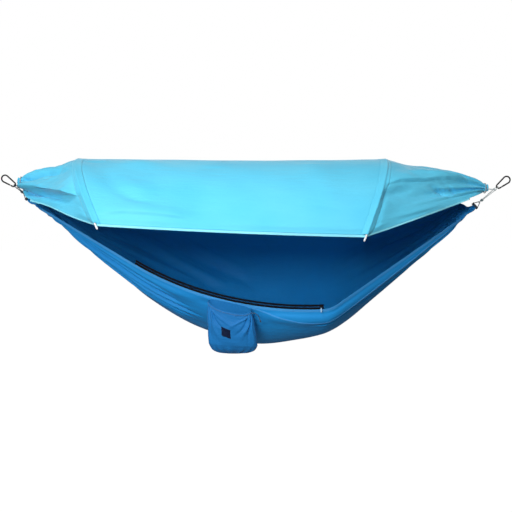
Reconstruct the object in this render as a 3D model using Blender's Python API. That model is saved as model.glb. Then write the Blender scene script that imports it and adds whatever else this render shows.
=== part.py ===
"""Hammock tent: a gathered nylon bed under a canopy that two bent poles hold out, with mosquito
netting between them, a zip along the front edge, a stuff pouch and a carabiner at each end.

Units are metres. X runs along the hammock from left to right, +Y away from the viewer, +Z up.
The origin is where the tree strap bears in the left carabiner, at the inside of its broad end.
"""
import math

import bpy
import bmesh
from mathutils import Matrix, Vector
from mathutils.bvhtree import BVHTree

# The hanging line, seen from the front
CARABINER_LENGTH = 0.090
CARABINER_WIDTH = 0.045
CARABINER_NARROW_WIDTH = 0.030
CARABINER_ROD = 0.008
LEFT_CARABINER_TILT = math.radians(35.0)
RIGHT_CARABINER_TILT = math.radians(39.0)
LEFT_ROPE_RUN = 0.0907
LEFT_ROPE_TILT = math.radians(43.2)
RIGHT_ROPE_RUN = 0.150
RIGHT_ROPE_TILT = math.radians(40.3)
GATHER_SPAN = 2.357
GATHER_LINE_FALL = math.radians(1.09)

# Running clearance between pieces that touch
TOUCH_GAP = 0.0003
# Gap along a seam whose two sides are faceted unlike each other
SEAM_GAP = 0.0008

# Carabiner gate, its rivet and its spring
GATE_FOOT_ALONG = 0.008
GATE_LENGTH = 0.036
GATE_FACE_GAP = 0.0005
RIVET_DIAMETER = 0.0024
RIVET_HEAD_DIAMETER = 0.0040
RIVET_HEAD_HEIGHT = 0.0006
RIVET_SETBACK = 0.0046
TONGUE_THICKNESS = 0.0030
SPRING_DIAMETER = 0.0036
SPRING_WIRE = 0.0006
SPRING_LENGTH = 0.012
SPRING_TURNS = 6

# Ropes and cords
HANG_ROPE_DIAMETER = 0.0045
HANG_EYE_WIDTH = 0.022
HANG_EYE_SPREAD = math.radians(14.0)
LEFT_KNOT_AT = 0.048
RIGHT_KNOT_AT = 0.103
KNOT_DIAMETER = 0.0145
KNOT_LENGTH = 0.0145
KNOT_TURNS = 3
LOWER_EYE_LENGTH = 0.013
LOWER_EYE_WIDTH = 0.0105
END_CORD_DIAMETER = 0.0040
END_CORD_EYE_WIDTH = 0.012
BED_WHIPPING_ROOM = 0.0013
CANOPY_WHIPPING_ROOM = 0.0014
CANOPY_CORD_DIAMETER = 0.0025
CANOPY_CORD_AT = 0.016

# The bed: a sheet whose two ends are gathered
CLOTH_THICKNESS = 0.0010
EDGE_PLANE_TILT = math.radians(39.0)
FRONT_EDGE_DROP = 0.641
FRONT_ARC_RADIUS = 1.529
FRONT_ARC_BOTTOM_AT = 1.432
FRONT_KINK_ANGLE = math.radians(5.4)
FRONT_KINK_ROUND_LENGTH = 0.030
FRONT_BAND_LEAN = math.radians(62.6)
ARC_SEGMENTS = 9
REAR_EDGE_DROP = 0.545
REAR_EDGE_TILT = math.radians(17.3)
REAR_BAND_LEAN = math.radians(11.5)
BED_DEPTH = 0.746
BED_BUNDLE_RADIUS = 0.0110
BED_PLEAT_DEPTH = 0.013
BUNDLE_PLEAT_DEPTH = 0.0035
BUNDLE_TAIL = 0.006
BUNDLE_NECK = 0.014
BUNDLE_TAPER_share = 0.66
BUNDLE_FLARE_share = 1.25
BED_ROWS = 20
HEM_WIDTH = 0.014
HEM_THICKNESS = 0.0016

# The canopy and the two bent poles that hold it out
POLE_SECTION_LENGTH = 0.356
POLE_SECTIONS = 4
POLE_DIAMETER = 0.0080
POLE_BORE = 0.0048
FERRULE_DIAMETER = 0.0096
FERRULE_LENGTH = 0.060
ELASTIC_DIAMETER = 0.0022
POLE_TIP_DIAMETER = 0.0095
POLE_TIP_LENGTH = 0.036
POLE_TIP_BORE_DEPTH = 0.012
LEFT_BOW_HALF_ANGLE = math.radians(62.2)
RIGHT_BOW_HALF_ANGLE = math.radians(71.7)
LEFT_BOW_LEAN = math.radians(30.7)
RIGHT_BOW_LEAN = math.radians(22.1)
LEFT_TIP_INSET = 0.450
RIGHT_TIP_INSET = 0.630
LEFT_TIP_DROP = 0.097
RIGHT_TIP_DROP = 0.129
POLE_CLEARANCE = 0.0006
SLEEVE_THICKNESS = 0.0006
SLEEVE_REACH = 0.010
LEFT_CANOPY_GATHER_OUTSET = 0.036
LEFT_CANOPY_GATHER_RISE = 0.082
RIGHT_CANOPY_GATHER_OUTSET = 0.048
RIGHT_CANOPY_GATHER_RISE = 0.094
CANOPY_BUNDLE_RADIUS = 0.020
CANOPY_PLEAT_DEPTH = 0.012
CANOPY_VALLEY_DEPTH = 0.022
CANOPY_RIDGE_SAG = 0.011
CANOPY_HEM_SAG = 0.006
CANOPY_END_HEM_SAG = 0.020
RIGHT_END_PUFF = 0.024
CANOPY_ROWS = 20
CANOPY_HEM_WIDTH = 0.012

# Netting, from the canopy's hem down to the bed's hem
NET_THICKNESS = 0.0008
NET_ROWS = 4
NET_EDGE_GAP = 0.0012
NET_BILLOW = 0.012

# The zip along the front edge
ZIP_TAPE_WIDTH = 0.011
ZIP_TAPE_THICKNESS = 0.0012
ZIP_TEETH_WIDTH = 0.0050
ZIP_TEETH_THICKNESS = 0.0022
ZIP_STOP_LENGTH = 0.005
ZIP_STOP_THICKNESS = 0.0034
ZIP_RIGHT_ANGLE = math.radians(4.2)
ZIP_SEGMENTS = 30
SLIDER_LENGTH = 0.012
SLIDER_WIDTH = 0.0105
SLIDER_WING_THICKNESS = 0.0011
SLIDER_BRIDGE_HEIGHT = 0.0030
SLIDER_BRIDGE_BAR = 0.0012
PULL_CORD_DIAMETER = 0.0010
PULL_CORD_LENGTH = 0.005
PULL_LENGTH = 0.020
PULL_WIDTH = 0.0070
PULL_THICKNESS = 0.0022

# The stuff pouch that hangs from the front hem
POUCH_WIDTH = 0.240
POUCH_MOUTH_WIDTH = 0.208
POUCH_HEIGHT = 0.262
POUCH_DEPTH = 0.072
POUCH_MOUTH_DEPTH = 0.046
POUCH_MOUTH_DROP = 0.040
POUCH_WALL = 0.0012
POUCH_CENTRE_ANGLE = math.radians(-13.15)
POUCH_SKEW = 0.020
POUCH_HANG_BACK = 0.050
POUCH_HINGE_GAP = 0.0001
POUCH_SIDES = 20
POUCH_LEVELS = 9
DRAWSTRING_DIAMETER = 0.0030
TAIL_DIAMETER = 0.0030
TAIL_LENGTH = 0.0525
TAIL_KNOT_DIAMETER = 0.0080
LABEL_WIDTH = 0.046
LABEL_HEIGHT = 0.046
LABEL_THICKNESS = 0.0008
LABEL_DROP = 0.148
LABEL_OFFSET = 0.006
LABEL_TURN = math.radians(24.0)
LABEL_STEPS = 8

# Places along the left and right ends, as shares of the way from the pole tip to the gather
LEFT_END_shares = (0.22, 0.42, 0.60, 0.76, 0.89)
RIGHT_END_shares = (0.19, 0.39, 0.58, 0.75, 0.89)
# The bed's lowest line: shares of the span against shares of the depth
BED_BOTTOM_shares = (
    (0.000, 0.000), (0.050, 0.150), (0.165, 0.442), (0.278, 0.700), (0.391, 0.889), (0.460, 0.960),
    (0.520, 1.000), (0.613, 0.962), (0.680, 0.900), (0.713, 0.851), (0.768, 0.708), (0.834, 0.530),
    (0.923, 0.279), (1.000, 0.000))
# Depth of the bed's pleats against the share of the span, full depth being one
BED_PLEAT_shares = (
    (0.000, 0.30), (0.030, 0.70), (0.070, 1.00), (0.120, 0.90), (0.180, 0.55), (0.250, 0.20),
    (0.330, 0.00), (0.720, 0.00), (0.800, 0.20), (0.880, 0.45), (0.940, 0.60), (0.980, 0.45), (1.000, 0.30))
# Depth of the canopy's pleats from a bow, at nought, to the gather, at one
CANOPY_PLEAT_shares = ((0.00, 0.00), (0.25, 0.05), (0.50, 0.45), (0.75, 1.00), (0.90, 0.80), (1.00, 0.30))
# The pouch from its mouth, at nought, down to its bottom: width, depth and its middle's way back
POUCH_WIDTH_shares = (
    (0.00, 0.00), (0.12, 0.35), (0.30, 0.80), (0.60, 1.00), (0.80, 0.98), (0.90, 0.80), (0.96, 0.50),
    (1.00, 0.10))
POUCH_DEPTH_shares = (
    (0.00, 0.00), (0.15, 0.30), (0.45, 0.90), (0.70, 1.00), (0.86, 0.80), (0.95, 0.45), (1.00, 0.08))

# The loose tail's points from the mouth's right corner, as shares of its length
TAIL_ROUTE_shares = (
    (0.000, 0.000, 0.000), (0.114, -0.010, 0.000), (0.238, -0.019, -0.048), (0.343, -0.019, -0.133),
    (0.429, -0.019, -0.248), (0.505, -0.019, -0.381), (0.571, -0.010, -0.524), (0.629, 0.000, -0.676))
# How the pouch closes at its bottom
POUCH_BOTTOM_shares = ((0.80, 1.00), (0.90, 0.90), (0.96, 0.70), (1.00, 0.30))
# Where the bed's section is pulled lowest, from its front edge to its rear edge
BOTTOM_WEIGHT_share = 0.42
# Where the canopy's end has its valleys, and how wide they are, from the middle to the hem
VALLEY_share = 0.70
VALLEY_HALF_share = 0.12
# How far a column of the sheets keeps from a pole's column, in reaches of the sleeve
STATION_ROOM_share = 1.5
# How far the bed's hems start from the gathers, in widths of the hem
HEM_START_share = 3.0
# How many stations from the gathers the canopy's hems and the nets start
HEM_SKIP_COUNT = 1
NET_SKIP_COUNT = 2

# The gate's rounded foot, as shares of the rod's radius: back along the gate, and out from its middle
GATE_FOOT_shares = ((-1.00, 0.00), (-0.80, 0.60), (-0.45, 0.88), (0.00, 1.00))
# The round end of the gate's tongue, as a share of its reach past the rivet
TONGUE_END_share = 0.8
# Steps of the bends in a carabiner, its ropes' eyes and the canopy cord's hold
NARROW_END_STEPS = 8
BROAD_END_STEPS = 10
EYE_STEPS = 10
BRIDLE_STEPS = 6
HOLD_STEPS = 5
SPRING_STEPS = 8

# How far a doubled cord's strands stand from its middle inside a knot, as a share of their radius
STRAND_GAP_share = 1.08
# A rope's knot: its ends and the dips between its turns as shares of its radius, and how far along
# its half length the turns and the lower eye's strands reach
KNOT_END_share = 0.60
KNOT_DIP_share = 0.86
KNOT_TURN_REACH_share = 0.9
EYE_IN_KNOT_share = 0.8
# A cord that runs into another of its own thickness is this much thinner
BRANCH_share = 0.98
THIN_BRANCH_share = 0.96
# The height on the canopy's bundle where its cord's two strands leave the ring
STRAND_LEVEL_share = 0.5
# The elastic's way into a pole tip's bore, and the tip's rounded end as shares of its radius
ELASTIC_END_share = 0.8
TIP_NOSE_share = 0.3
TIP_SHOULDER_share = 0.7
# The slider's bridge as a share of the slider's length
BRIDGE_share = 0.8
# The way from a slider's end to the stop beside it, in lengths of a stop
STOP_ROOM_share = 1.5
# How square the pouch's cross-section is: one is round, nought is a rectangle
POUCH_ROUND_share = 0.8
# How far the drawstring stands off the pouch, as a share of its radius
DRAWSTRING_OFF_share = 1.1
# How near a faceted knot's side lies to its middle, as a share of its radius
KNOT_FLAT_share = 0.93
# How far down its first step the pouch's drawstring lies
DRAWSTRING_LEVEL_share = 0.35
# How far a hem's end is drawn back, as a share of the last step between its stations
HEM_TRIM_share = 0.12
# Widest angle that a gathered end takes round its bundle, to each side of the middle
BUNDLE_WRAP = math.radians(150.0)
ROUND_SIDES = 8
CORD_BEVEL_STEPS = 2
WHIPPING_STEPS = 20

ACROSS = Vector((0.0, 1.0, 0.0))

COLOURS = {
    "canopy": (0.10, 0.62, 0.90), "bed": (0.02, 0.18, 0.52), "hem": (0.04, 0.24, 0.62),
    "net": (0.02, 0.02, 0.025), "tape": (0.01, 0.01, 0.012), "zip": (0.01, 0.01, 0.012),
    "pull": (0.35, 0.55, 0.75), "anodised": (0.012, 0.012, 0.014), "steel": (0.55, 0.55, 0.56),
    "pale_rope": (0.55, 0.60, 0.60), "dark_rope": (0.01, 0.03, 0.06), "pole": (0.05, 0.05, 0.05),
    "tip": (0.85, 0.87, 0.88), "elastic": (0.80, 0.80, 0.80), "pouch": (0.05, 0.24, 0.58),
    "label": (0.012, 0.012, 0.014)}
METALS = ("anodised", "steel")


def clear_objects():
    for item in list(bpy.data.objects):
        bpy.data.objects.remove(item, do_unlink=True)


def finish_named(kind):
    """The plain material of one kind of stuff."""
    known = bpy.data.materials.get(kind)
    if known:
        return known
    material = bpy.data.materials.new(kind)
    material.use_nodes = True
    shader = material.node_tree.nodes["Principled BSDF"]
    shader.inputs["Base Color"].default_value = (*COLOURS[kind], 1.0)
    shader.inputs["Roughness"].default_value = 0.35 if kind in METALS else 0.7
    shader.inputs["Metallic"].default_value = 1.0 if kind in METALS else 0.0
    return material


def add_mesh(name, points, faces, kind, smooth=False):
    """A mesh object with its faces turned outwards."""
    mesh = bpy.data.meshes.new(name)
    mesh.from_pydata([tuple(point) for point in points], [], faces)
    work = bmesh.new()
    work.from_mesh(mesh)
    bmesh.ops.recalc_face_normals(work, faces=work.faces)
    work.to_mesh(mesh)
    work.free()
    item = bpy.data.objects.new(name, mesh)
    bpy.context.collection.objects.link(item)
    item.data.materials.append(finish_named(kind))
    if smooth:
        mesh.shade_smooth()
    return item


def add_sheet(name, grid, thickness, kind):
    """Cloth: a grid of points, one list for each column, given its thickness by Solidify."""
    rows = len(grid[0])
    points = [point for column in grid for point in column]
    faces = []
    for i in range(len(grid) - 1):
        for j in range(rows - 1):
            faces.append((i * rows + j, i * rows + j + 1, (i + 1) * rows + j + 1, (i + 1) * rows + j))
    item = add_mesh(name, points, faces, kind, smooth=True)
    wall = item.modifiers.new("wall", "SOLIDIFY")
    wall.thickness = thickness
    wall.offset = 0.0
    return item


def swept_mesh(rings, closed=False):
    """Points and faces of a skin through rings of equal count, with end caps unless it is closed."""
    count = len(rings[0])
    points = [point for ring in rings for point in ring]
    faces = []
    spans = len(rings) if closed else len(rings) - 1
    for i in range(spans):
        here = i * count
        there = ((i + 1) % len(rings)) * count
        for j in range(count):
            k = (j + 1) % count
            faces.append((here + j, here + k, there + k, there + j))
    if not closed:
        faces.append(tuple(range(count)))
        faces.append(tuple(range((len(rings) - 1) * count, len(rings) * count)))
    return points, faces


def trimmed(stations, share):
    """The stations of a band with both ends drawn back by a share of their last step."""
    result = list(stations)
    for end, inner in ((0, 1), (-1, -2)):
        here, near = stations[end], stations[inner]
        result[end] = tuple(a.lerp(b, share) for a, b in zip(here, near))
    return result


def add_strip(name, stations, width, thickness, kind):
    """A flat band: each station is its middle, its width direction and its thickness direction."""
    rings = []
    for middle, wide, thick in stations:
        half_wide = wide * (width / 2)
        half_thick = thick * (thickness / 2)
        rings.append([middle - half_wide - half_thick, middle + half_wide - half_thick,
                      middle + half_wide + half_thick, middle - half_wide + half_thick])
    return add_mesh(name, *swept_mesh(rings), kind)


def path_frames(path, closed, hint, ends=(None, None)):
    """Directions along a path and two across it, carried from point to point without twist."""
    frames = []
    side = hint
    last = len(path) - 1
    for i, point in enumerate(path):
        ahead = path[(i + 1) % len(path)] if closed or i < last else point
        behind = path[i - 1] if closed or i > 0 else point
        along = (ahead - behind).normalized()
        if i == 0 and ends[0]:
            along = ends[0]
        if i == last and ends[1]:
            along = ends[1]
        side = (side - along * side.dot(along)).normalized()
        frames.append((along, side, along.cross(side)))
    return frames


def tube_rings(path, radius, closed, hint, sides=ROUND_SIDES, ends=(None, None)):
    rings = []
    for point, (along, side, other) in zip(path, path_frames(path, closed, hint, ends)):
        ring = []
        for k in range(sides):
            turn = math.tau * (k + 0.5) / sides
            ring.append(point + side * (radius * math.cos(turn)) + other * (radius * math.sin(turn)))
        rings.append(ring)
    return rings


def add_tube(name, path, radius, kind, closed=False, hint=ACROSS, sides=ROUND_SIDES):
    rings = tube_rings(path, radius, closed, hint, sides)
    return add_mesh(name, *swept_mesh(rings, closed), kind, smooth=True)


def add_cord(name, path, radius, kind):
    """A free cord, kept as a round curve along its path."""
    curve = bpy.data.curves.new(name, "CURVE")
    curve.dimensions = "3D"
    curve.bevel_depth = radius
    curve.bevel_resolution = CORD_BEVEL_STEPS
    curve.use_fill_caps = True
    spline = curve.splines.new("POLY")
    spline.points.add(len(path) - 1)
    for point, spot in zip(spline.points, path):
        point.co = (*spot, 1.0)
    curve.materials.append(finish_named(kind))
    cord = bpy.data.objects.new(name, curve)
    bpy.context.scene.collection.objects.link(cord)
    return cord


def add_ring_tube(name, path, outer_radius, bore_radius, kind, hint=ACROSS, ends=(None, None)):
    """A hollow tube along an open path, with flat annular ends."""
    outer = tube_rings(path, outer_radius, False, hint, ROUND_SIDES, ends)
    inner = tube_rings(path, bore_radius, False, hint, ROUND_SIDES, ends)
    points, faces = swept_mesh(outer + inner[::-1], closed=True)
    return add_mesh(name, points, faces, kind)


def add_turned(name, profile, origin, along, kind, sides=12):
    """A turned solid: profile points are (way along, radius), with a radius of nought at each end."""
    side = ACROSS if abs(along.dot(ACROSS)) < 0.9 else Vector((1.0, 0.0, 0.0))
    side = (side - along * side.dot(along)).normalized()
    other = along.cross(side)
    points = [origin + along * profile[0][0]]
    faces = []
    for way, radius in profile[1:-1]:
        for k in range(sides):
            turn = math.tau * (k + 0.5) / sides
            spoke = side * math.cos(turn) + other * math.sin(turn)
            points.append(origin + along * way + spoke * radius)
    points.append(origin + along * profile[-1][0])
    last = len(points) - 1
    levels = len(profile) - 2
    for k in range(sides):
        m = (k + 1) % sides
        faces.append((0, 1 + m, 1 + k))
        for level in range(levels - 1):
            low = 1 + level * sides
            faces.append((low + k, low + m, low + sides + m, low + sides + k))
        low = 1 + (levels - 1) * sides
        faces.append((last, low + k, low + m))
    return add_mesh(name, points, faces, kind)


def add_box(name, middle, axes, sizes, kind):
    """A box from its middle, three square directions and its three sizes."""
    points = []
    for a in (-0.5, 0.5):
        for b in (-0.5, 0.5):
            for c in (-0.5, 0.5):
                reach = axes[0] * (a * sizes[0]) + axes[1] * (b * sizes[1])
                points.append(middle + reach + axes[2] * (c * sizes[2]))
    faces = [(0, 1, 3, 2), (4, 6, 7, 5), (0, 4, 5, 1), (2, 3, 7, 6), (0, 2, 6, 4), (1, 5, 7, 3)]
    return add_mesh(name, points, faces, kind)


def combine(item, tool, operation):
    """Adds or cuts away another solid with an exact Boolean; the tool stays as a wire guide."""
    step = item.modifiers.new(tool.name, "BOOLEAN")
    step.operation = operation
    step.solver = "EXACT"
    step.object = tool
    tool.hide_render = True
    tool.display_type = "WIRE"


def between(pairs, x):
    """Value at x on the broken line through pairs of (x, value)."""
    if x <= pairs[0][0]:
        return pairs[0][1]
    for (x0, y0), (x1, y1) in zip(pairs, pairs[1:]):
        if x <= x1:
            return y0 + (y1 - y0) * (x - x0) / (x1 - x0)
    return pairs[-1][1]


def smooth_between(pairs, x):
    """Value at x on a smooth curve through the pairs, with slopes that never overshoot."""
    if x <= pairs[0][0]:
        return pairs[0][1]
    if x >= pairs[-1][0]:
        return pairs[-1][1]
    steps = [(b[1] - a[1]) / (b[0] - a[0]) for a, b in zip(pairs, pairs[1:])]
    slopes = [steps[0]]
    for before, after in zip(steps, steps[1:]):
        slopes.append(0.0 if before * after <= 0 else 2 * before * after / (before + after))
    slopes.append(steps[-1])
    for i in range(len(pairs) - 1):
        (x0, y0), (x1, y1) = pairs[i], pairs[i + 1]
        if x <= x1:
            h = x1 - x0
            u = (x - x0) / h
            return ((2 * u ** 3 - 3 * u ** 2 + 1) * y0 + (u ** 3 - 2 * u ** 2 + u) * h * slopes[i]
                    + (3 * u ** 2 - 2 * u ** 3) * y1 + (u ** 3 - u ** 2) * h * slopes[i + 1])


def front_direction(angle):
    """A direction in the plane that the viewer faces, the angle measured up from +X."""
    return Vector((math.cos(angle), 0.0, math.sin(angle)))


# Points of the hanging line, from the left tree strap to the right one
EYE_LENGTH = CARABINER_LENGTH - 1.5 * CARABINER_ROD
LEFT_HOOK = front_direction(-LEFT_CARABINER_TILT) * EYE_LENGTH
LEFT_GATHER = LEFT_HOOK + front_direction(-LEFT_ROPE_TILT) * LEFT_ROPE_RUN
ALONG = front_direction(-GATHER_LINE_FALL)
UPWARD = Vector((-ALONG.z, 0.0, ALONG.x))
RIGHT_GATHER = LEFT_GATHER + ALONG * GATHER_SPAN
RIGHT_HOOK = RIGHT_GATHER + front_direction(RIGHT_ROPE_TILT) * RIGHT_ROPE_RUN
RIGHT_STRAP = RIGHT_HOOK + front_direction(RIGHT_CARABINER_TILT) * EYE_LENGTH
HANG_EYE_RISE = (CARABINER_ROD + HANG_ROPE_DIAMETER) / 2 + 2 * TOUCH_GAP


def place(way, depth, rise):
    """World point from the way along the gather line, the depth across it and the rise above it."""
    return LEFT_GATHER + ALONG * way + ACROSS * depth + UPWARD * rise


# The front edge lies in a tilted plane through both gathers; its middle is a circle's arc
EDGE_DOWN = -(ACROSS * math.sin(EDGE_PLANE_TILT) + UPWARD * math.cos(EDGE_PLANE_TILT))
EDGE_OUT = UPWARD * math.sin(EDGE_PLANE_TILT) - ACROSS * math.cos(EDGE_PLANE_TILT)
ARC_CENTRE_DROP = FRONT_EDGE_DROP - FRONT_ARC_RADIUS
ARC_CENTRE = LEFT_GATHER + ALONG * FRONT_ARC_BOTTOM_AT + EDGE_DOWN * ARC_CENTRE_DROP
ARC_REACH = math.hypot(FRONT_ARC_BOTTOM_AT, ARC_CENTRE_DROP)
TANGENT_ANGLE = -(math.asin(FRONT_ARC_RADIUS / ARC_REACH) - math.atan2(-ARC_CENTRE_DROP, FRONT_ARC_BOTTOM_AT))
ZIP_LEFT_ANGLE = TANGENT_ANGLE + 2 * ZIP_STOP_LENGTH / FRONT_ARC_RADIUS


def arc_frame(angle):
    """Direction along the front edge's arc, and inwards to its centre, at an angle from its lowest point."""
    along = ALONG * math.cos(angle) - EDGE_DOWN * math.sin(angle)
    inward = -(ALONG * math.sin(angle) + EDGE_DOWN * math.cos(angle))
    return along, inward


def band_frame(inward):
    """Up the front band, and outwards from it, for one inward direction of the edge."""
    up_band = inward * math.cos(FRONT_BAND_LEAN) + EDGE_OUT * math.sin(FRONT_BAND_LEAN)
    outward = EDGE_OUT * math.cos(FRONT_BAND_LEAN) - inward * math.sin(FRONT_BAND_LEAN)
    return up_band, outward


def arc_place(angle, up=0.0, out=0.0):
    """A point by its angle along the zip, its way up the band and its way out from it."""
    inward = arc_frame(angle)[1]
    up_band, outward = band_frame(inward)
    return ARC_CENTRE - inward * FRONT_ARC_RADIUS + up_band * up + outward * out


def on_edge_plane(way, drop):
    return LEFT_GATHER + ALONG * way + EDGE_DOWN * drop


LEFT_TIP_WAY = LEFT_TIP_INSET
RIGHT_TIP_WAY = GATHER_SPAN - RIGHT_TIP_INSET
LEFT_CANOPY_END = -LEFT_CANOPY_GATHER_OUTSET
RIGHT_CANOPY_END = GATHER_SPAN + RIGHT_CANOPY_GATHER_OUTSET


def arc_way(angle):
    return FRONT_ARC_BOTTOM_AT + FRONT_ARC_RADIUS * math.sin(angle)


KINK_START_ANGLE = FRONT_KINK_ANGLE - FRONT_KINK_ROUND_LENGTH / FRONT_ARC_RADIUS
KINK_WAY = arc_way(FRONT_KINK_ANGLE)
KINK_DROP = ARC_CENTRE_DROP + FRONT_ARC_RADIUS * math.cos(FRONT_KINK_ANGLE)
RIGHT_EDGE_ANGLE = math.atan2(KINK_DROP, GATHER_SPAN - KINK_WAY)
ARC_LEFT_WAY = arc_way(TANGENT_ANGLE)
ARC_RIGHT_WAY = arc_way(KINK_START_ANGLE)
KINK_END_WAY = KINK_WAY + FRONT_KINK_ROUND_LENGTH * math.cos(RIGHT_EDGE_ANGLE)


def edge_at(way):
    """The way itself, the front edge's drop there and its inward direction: straight, arc, straight."""
    if way < ARC_LEFT_WAY:
        return way, way * math.tan(-TANGENT_ANGLE), arc_frame(TANGENT_ANGLE)[1]
    if way < ARC_RIGHT_WAY + TOUCH_GAP:
        angle = math.asin((way - FRONT_ARC_BOTTOM_AT) / FRONT_ARC_RADIUS)
        return way, ARC_CENTRE_DROP + FRONT_ARC_RADIUS * math.cos(angle), arc_frame(angle)[1]
    if way < KINK_END_WAY:
        start, stop = edge_at(ARC_RIGHT_WAY), edge_at(KINK_END_WAY)
        share = (way - start[0]) / (stop[0] - start[0])
        return way, start[1] + (stop[1] - start[1]) * share, start[2].lerp(stop[2], share).normalized()
    return way, (GATHER_SPAN - way) * math.tan(RIGHT_EDGE_ANGLE), arc_frame(RIGHT_EDGE_ANGLE)[1]


def station_ways():
    """Ways of the columns shared by the bed, the nets and the hems, none crowding a pole's sleeve."""
    ends = [LEFT_TIP_WAY, RIGHT_TIP_WAY]
    ends += [LEFT_TIP_WAY + (LEFT_CANOPY_END - LEFT_TIP_WAY) * share for share in LEFT_END_shares]
    ends += [RIGHT_TIP_WAY + (RIGHT_CANOPY_END - RIGHT_TIP_WAY) * share for share in RIGHT_END_shares]
    bends = [KINK_END_WAY]
    for i in range(ARC_SEGMENTS + 1):
        bends.append(arc_way(TANGENT_ANGLE + (KINK_START_ANGLE - TANGENT_ANGLE) * i / ARC_SEGMENTS))
    room = STATION_ROOM_share * SLEEVE_REACH
    return sorted(ends + [way for way in bends if all(abs(way - end) > room for end in ends)])


STATIONS = [edge_at(way) for way in station_ways()]
LEFT_TIP_COLUMN = [station[0] for station in STATIONS].index(LEFT_TIP_WAY)
RIGHT_TIP_COLUMN = [station[0] for station in STATIONS].index(RIGHT_TIP_WAY)
# Where the front band's layers lie, measured up the band from the zip's middle
TEETH_EDGE = ZIP_TEETH_WIDTH / 2
TAPE_MIDDLE = TEETH_EDGE + TOUCH_GAP + ZIP_TAPE_WIDTH / 2
TAPE_EDGE = TEETH_EDGE + TOUCH_GAP + ZIP_TAPE_WIDTH
FRONT_HEM_MIDDLE = -(TAPE_EDGE + SEAM_GAP + HEM_WIDTH / 2)
BED_FRONT_EDGE = -(TAPE_EDGE + SEAM_GAP + HEM_WIDTH + TOUCH_GAP)
NET_FRONT_EDGE = TAPE_EDGE + SEAM_GAP
REAR_BAND_UP = ACROSS * math.sin(REAR_BAND_LEAN) + UPWARD * math.cos(REAR_BAND_LEAN)
REAR_BAND_OUT = ACROSS * math.cos(REAR_BAND_LEAN) - UPWARD * math.sin(REAR_BAND_LEAN)
REAR_DIRECTION = ACROSS * math.cos(REAR_EDGE_TILT) - UPWARD * math.sin(REAR_EDGE_TILT)


def rear_edge(way):
    share = way / GATHER_SPAN
    return LEFT_GATHER + ALONG * way + REAR_DIRECTION * (REAR_EDGE_DROP * 4 * share * (1 - share))


def bezier(a, b, c, d, t):
    s = 1 - t
    return a * (s ** 3) + b * (3 * s * s * t) + c * (3 * s * t * t) + d * (t ** 3)


def even_points(curve, count, samples=80):
    """Points at even lengths along a curve that takes a value from 0 to 1."""
    fine = [curve(i / samples) for i in range(samples + 1)]
    lengths = [0.0]
    for a, b in zip(fine, fine[1:]):
        lengths.append(lengths[-1] + (b - a).length)
    found = []
    k = 0
    for i in range(count + 1):
        wanted = lengths[-1] * i / count
        while k < samples - 1 and lengths[k + 1] < wanted:
            k += 1
        step = lengths[k + 1] - lengths[k]
        found.append(fine[k].lerp(fine[k + 1], (wanted - lengths[k]) / step if step else 0.0))
    return found


def bed_section(way, drop, inward):
    """One cross-section of the bed, from its front edge round to its rear edge."""
    up_band = band_frame(inward)[0]
    front = on_edge_plane(way, drop) + up_band * BED_FRONT_EDGE
    rear = rear_edge(way)
    depth = BED_DEPTH * smooth_between(BED_BOTTOM_shares, way / GATHER_SPAN)
    front_rise = (front - LEFT_GATHER).dot(UPWARD)
    rear_rise = (rear - LEFT_GATHER).dot(UPWARD)
    t = BOTTOM_WEIGHT_share
    s = 1 - t
    pull = (-depth - s ** 3 * front_rise - t ** 3 * rear_rise) / (1 - s ** 3 - t ** 3)
    down_front = up_band - ALONG * up_band.dot(ALONG)
    front_pull = front - down_front * ((front_rise - pull) / down_front.dot(UPWARD))
    rear_pull = rear - REAR_BAND_UP * ((rear_rise - pull) / REAR_BAND_UP.dot(UPWARD))
    return even_points(lambda u: bezier(front, front_pull, rear_pull, rear, u), BED_ROWS)


def bundle_ring(middle, across, upright, radius, rows, opens_up):
    """A gathered end's section: most of a circle, open on top or below."""
    ring = []
    for j in range(rows + 1):
        turn = BUNDLE_WRAP * (2 * j / rows - 1)
        rise = -math.cos(turn) if opens_up else math.cos(turn)
        ring.append(middle + across * (radius * math.sin(turn)) + upright * (radius * rise))
    return ring


def column_normals(grid, i):
    """Normals of the cloth at one column, from its neighbours."""
    here = grid[i]
    ahead = grid[min(i + 1, len(grid) - 1)]
    behind = grid[max(i - 1, 0)]
    normals = []
    for j in range(len(here)):
        down = here[min(j + 1, len(here) - 1)] - here[max(j - 1, 0)]
        normals.append((ahead[j] - behind[j]).cross(down).normalized())
    return normals


def pleated(grid, depths):
    """The grid with every other row pushed in and out, but not the two rows along each edge."""
    result = []
    for i, column in enumerate(grid):
        normals = column_normals(grid, i)
        last = len(column) - 1
        moved = []
        for j, point in enumerate(column):
            free = 0.0 if j < 2 or j > last - 2 else 1.0
            sign = 1.0 if j % 2 else -1.0
            moved.append(point + normals[j] * (depths[i] * free * sign))
        result.append(moved)
    return result


LEFT_ROPE_WAY = (LEFT_GATHER - LEFT_HOOK).normalized()
RIGHT_ROPE_WAY = (RIGHT_GATHER - RIGHT_HOOK).normalized()


def upright_of(rope_way):
    """Square to a rope, in the plane that the viewer faces, pointing up."""
    square = rope_way.cross(ACROSS)
    return square if square.z > 0 else -square


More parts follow.
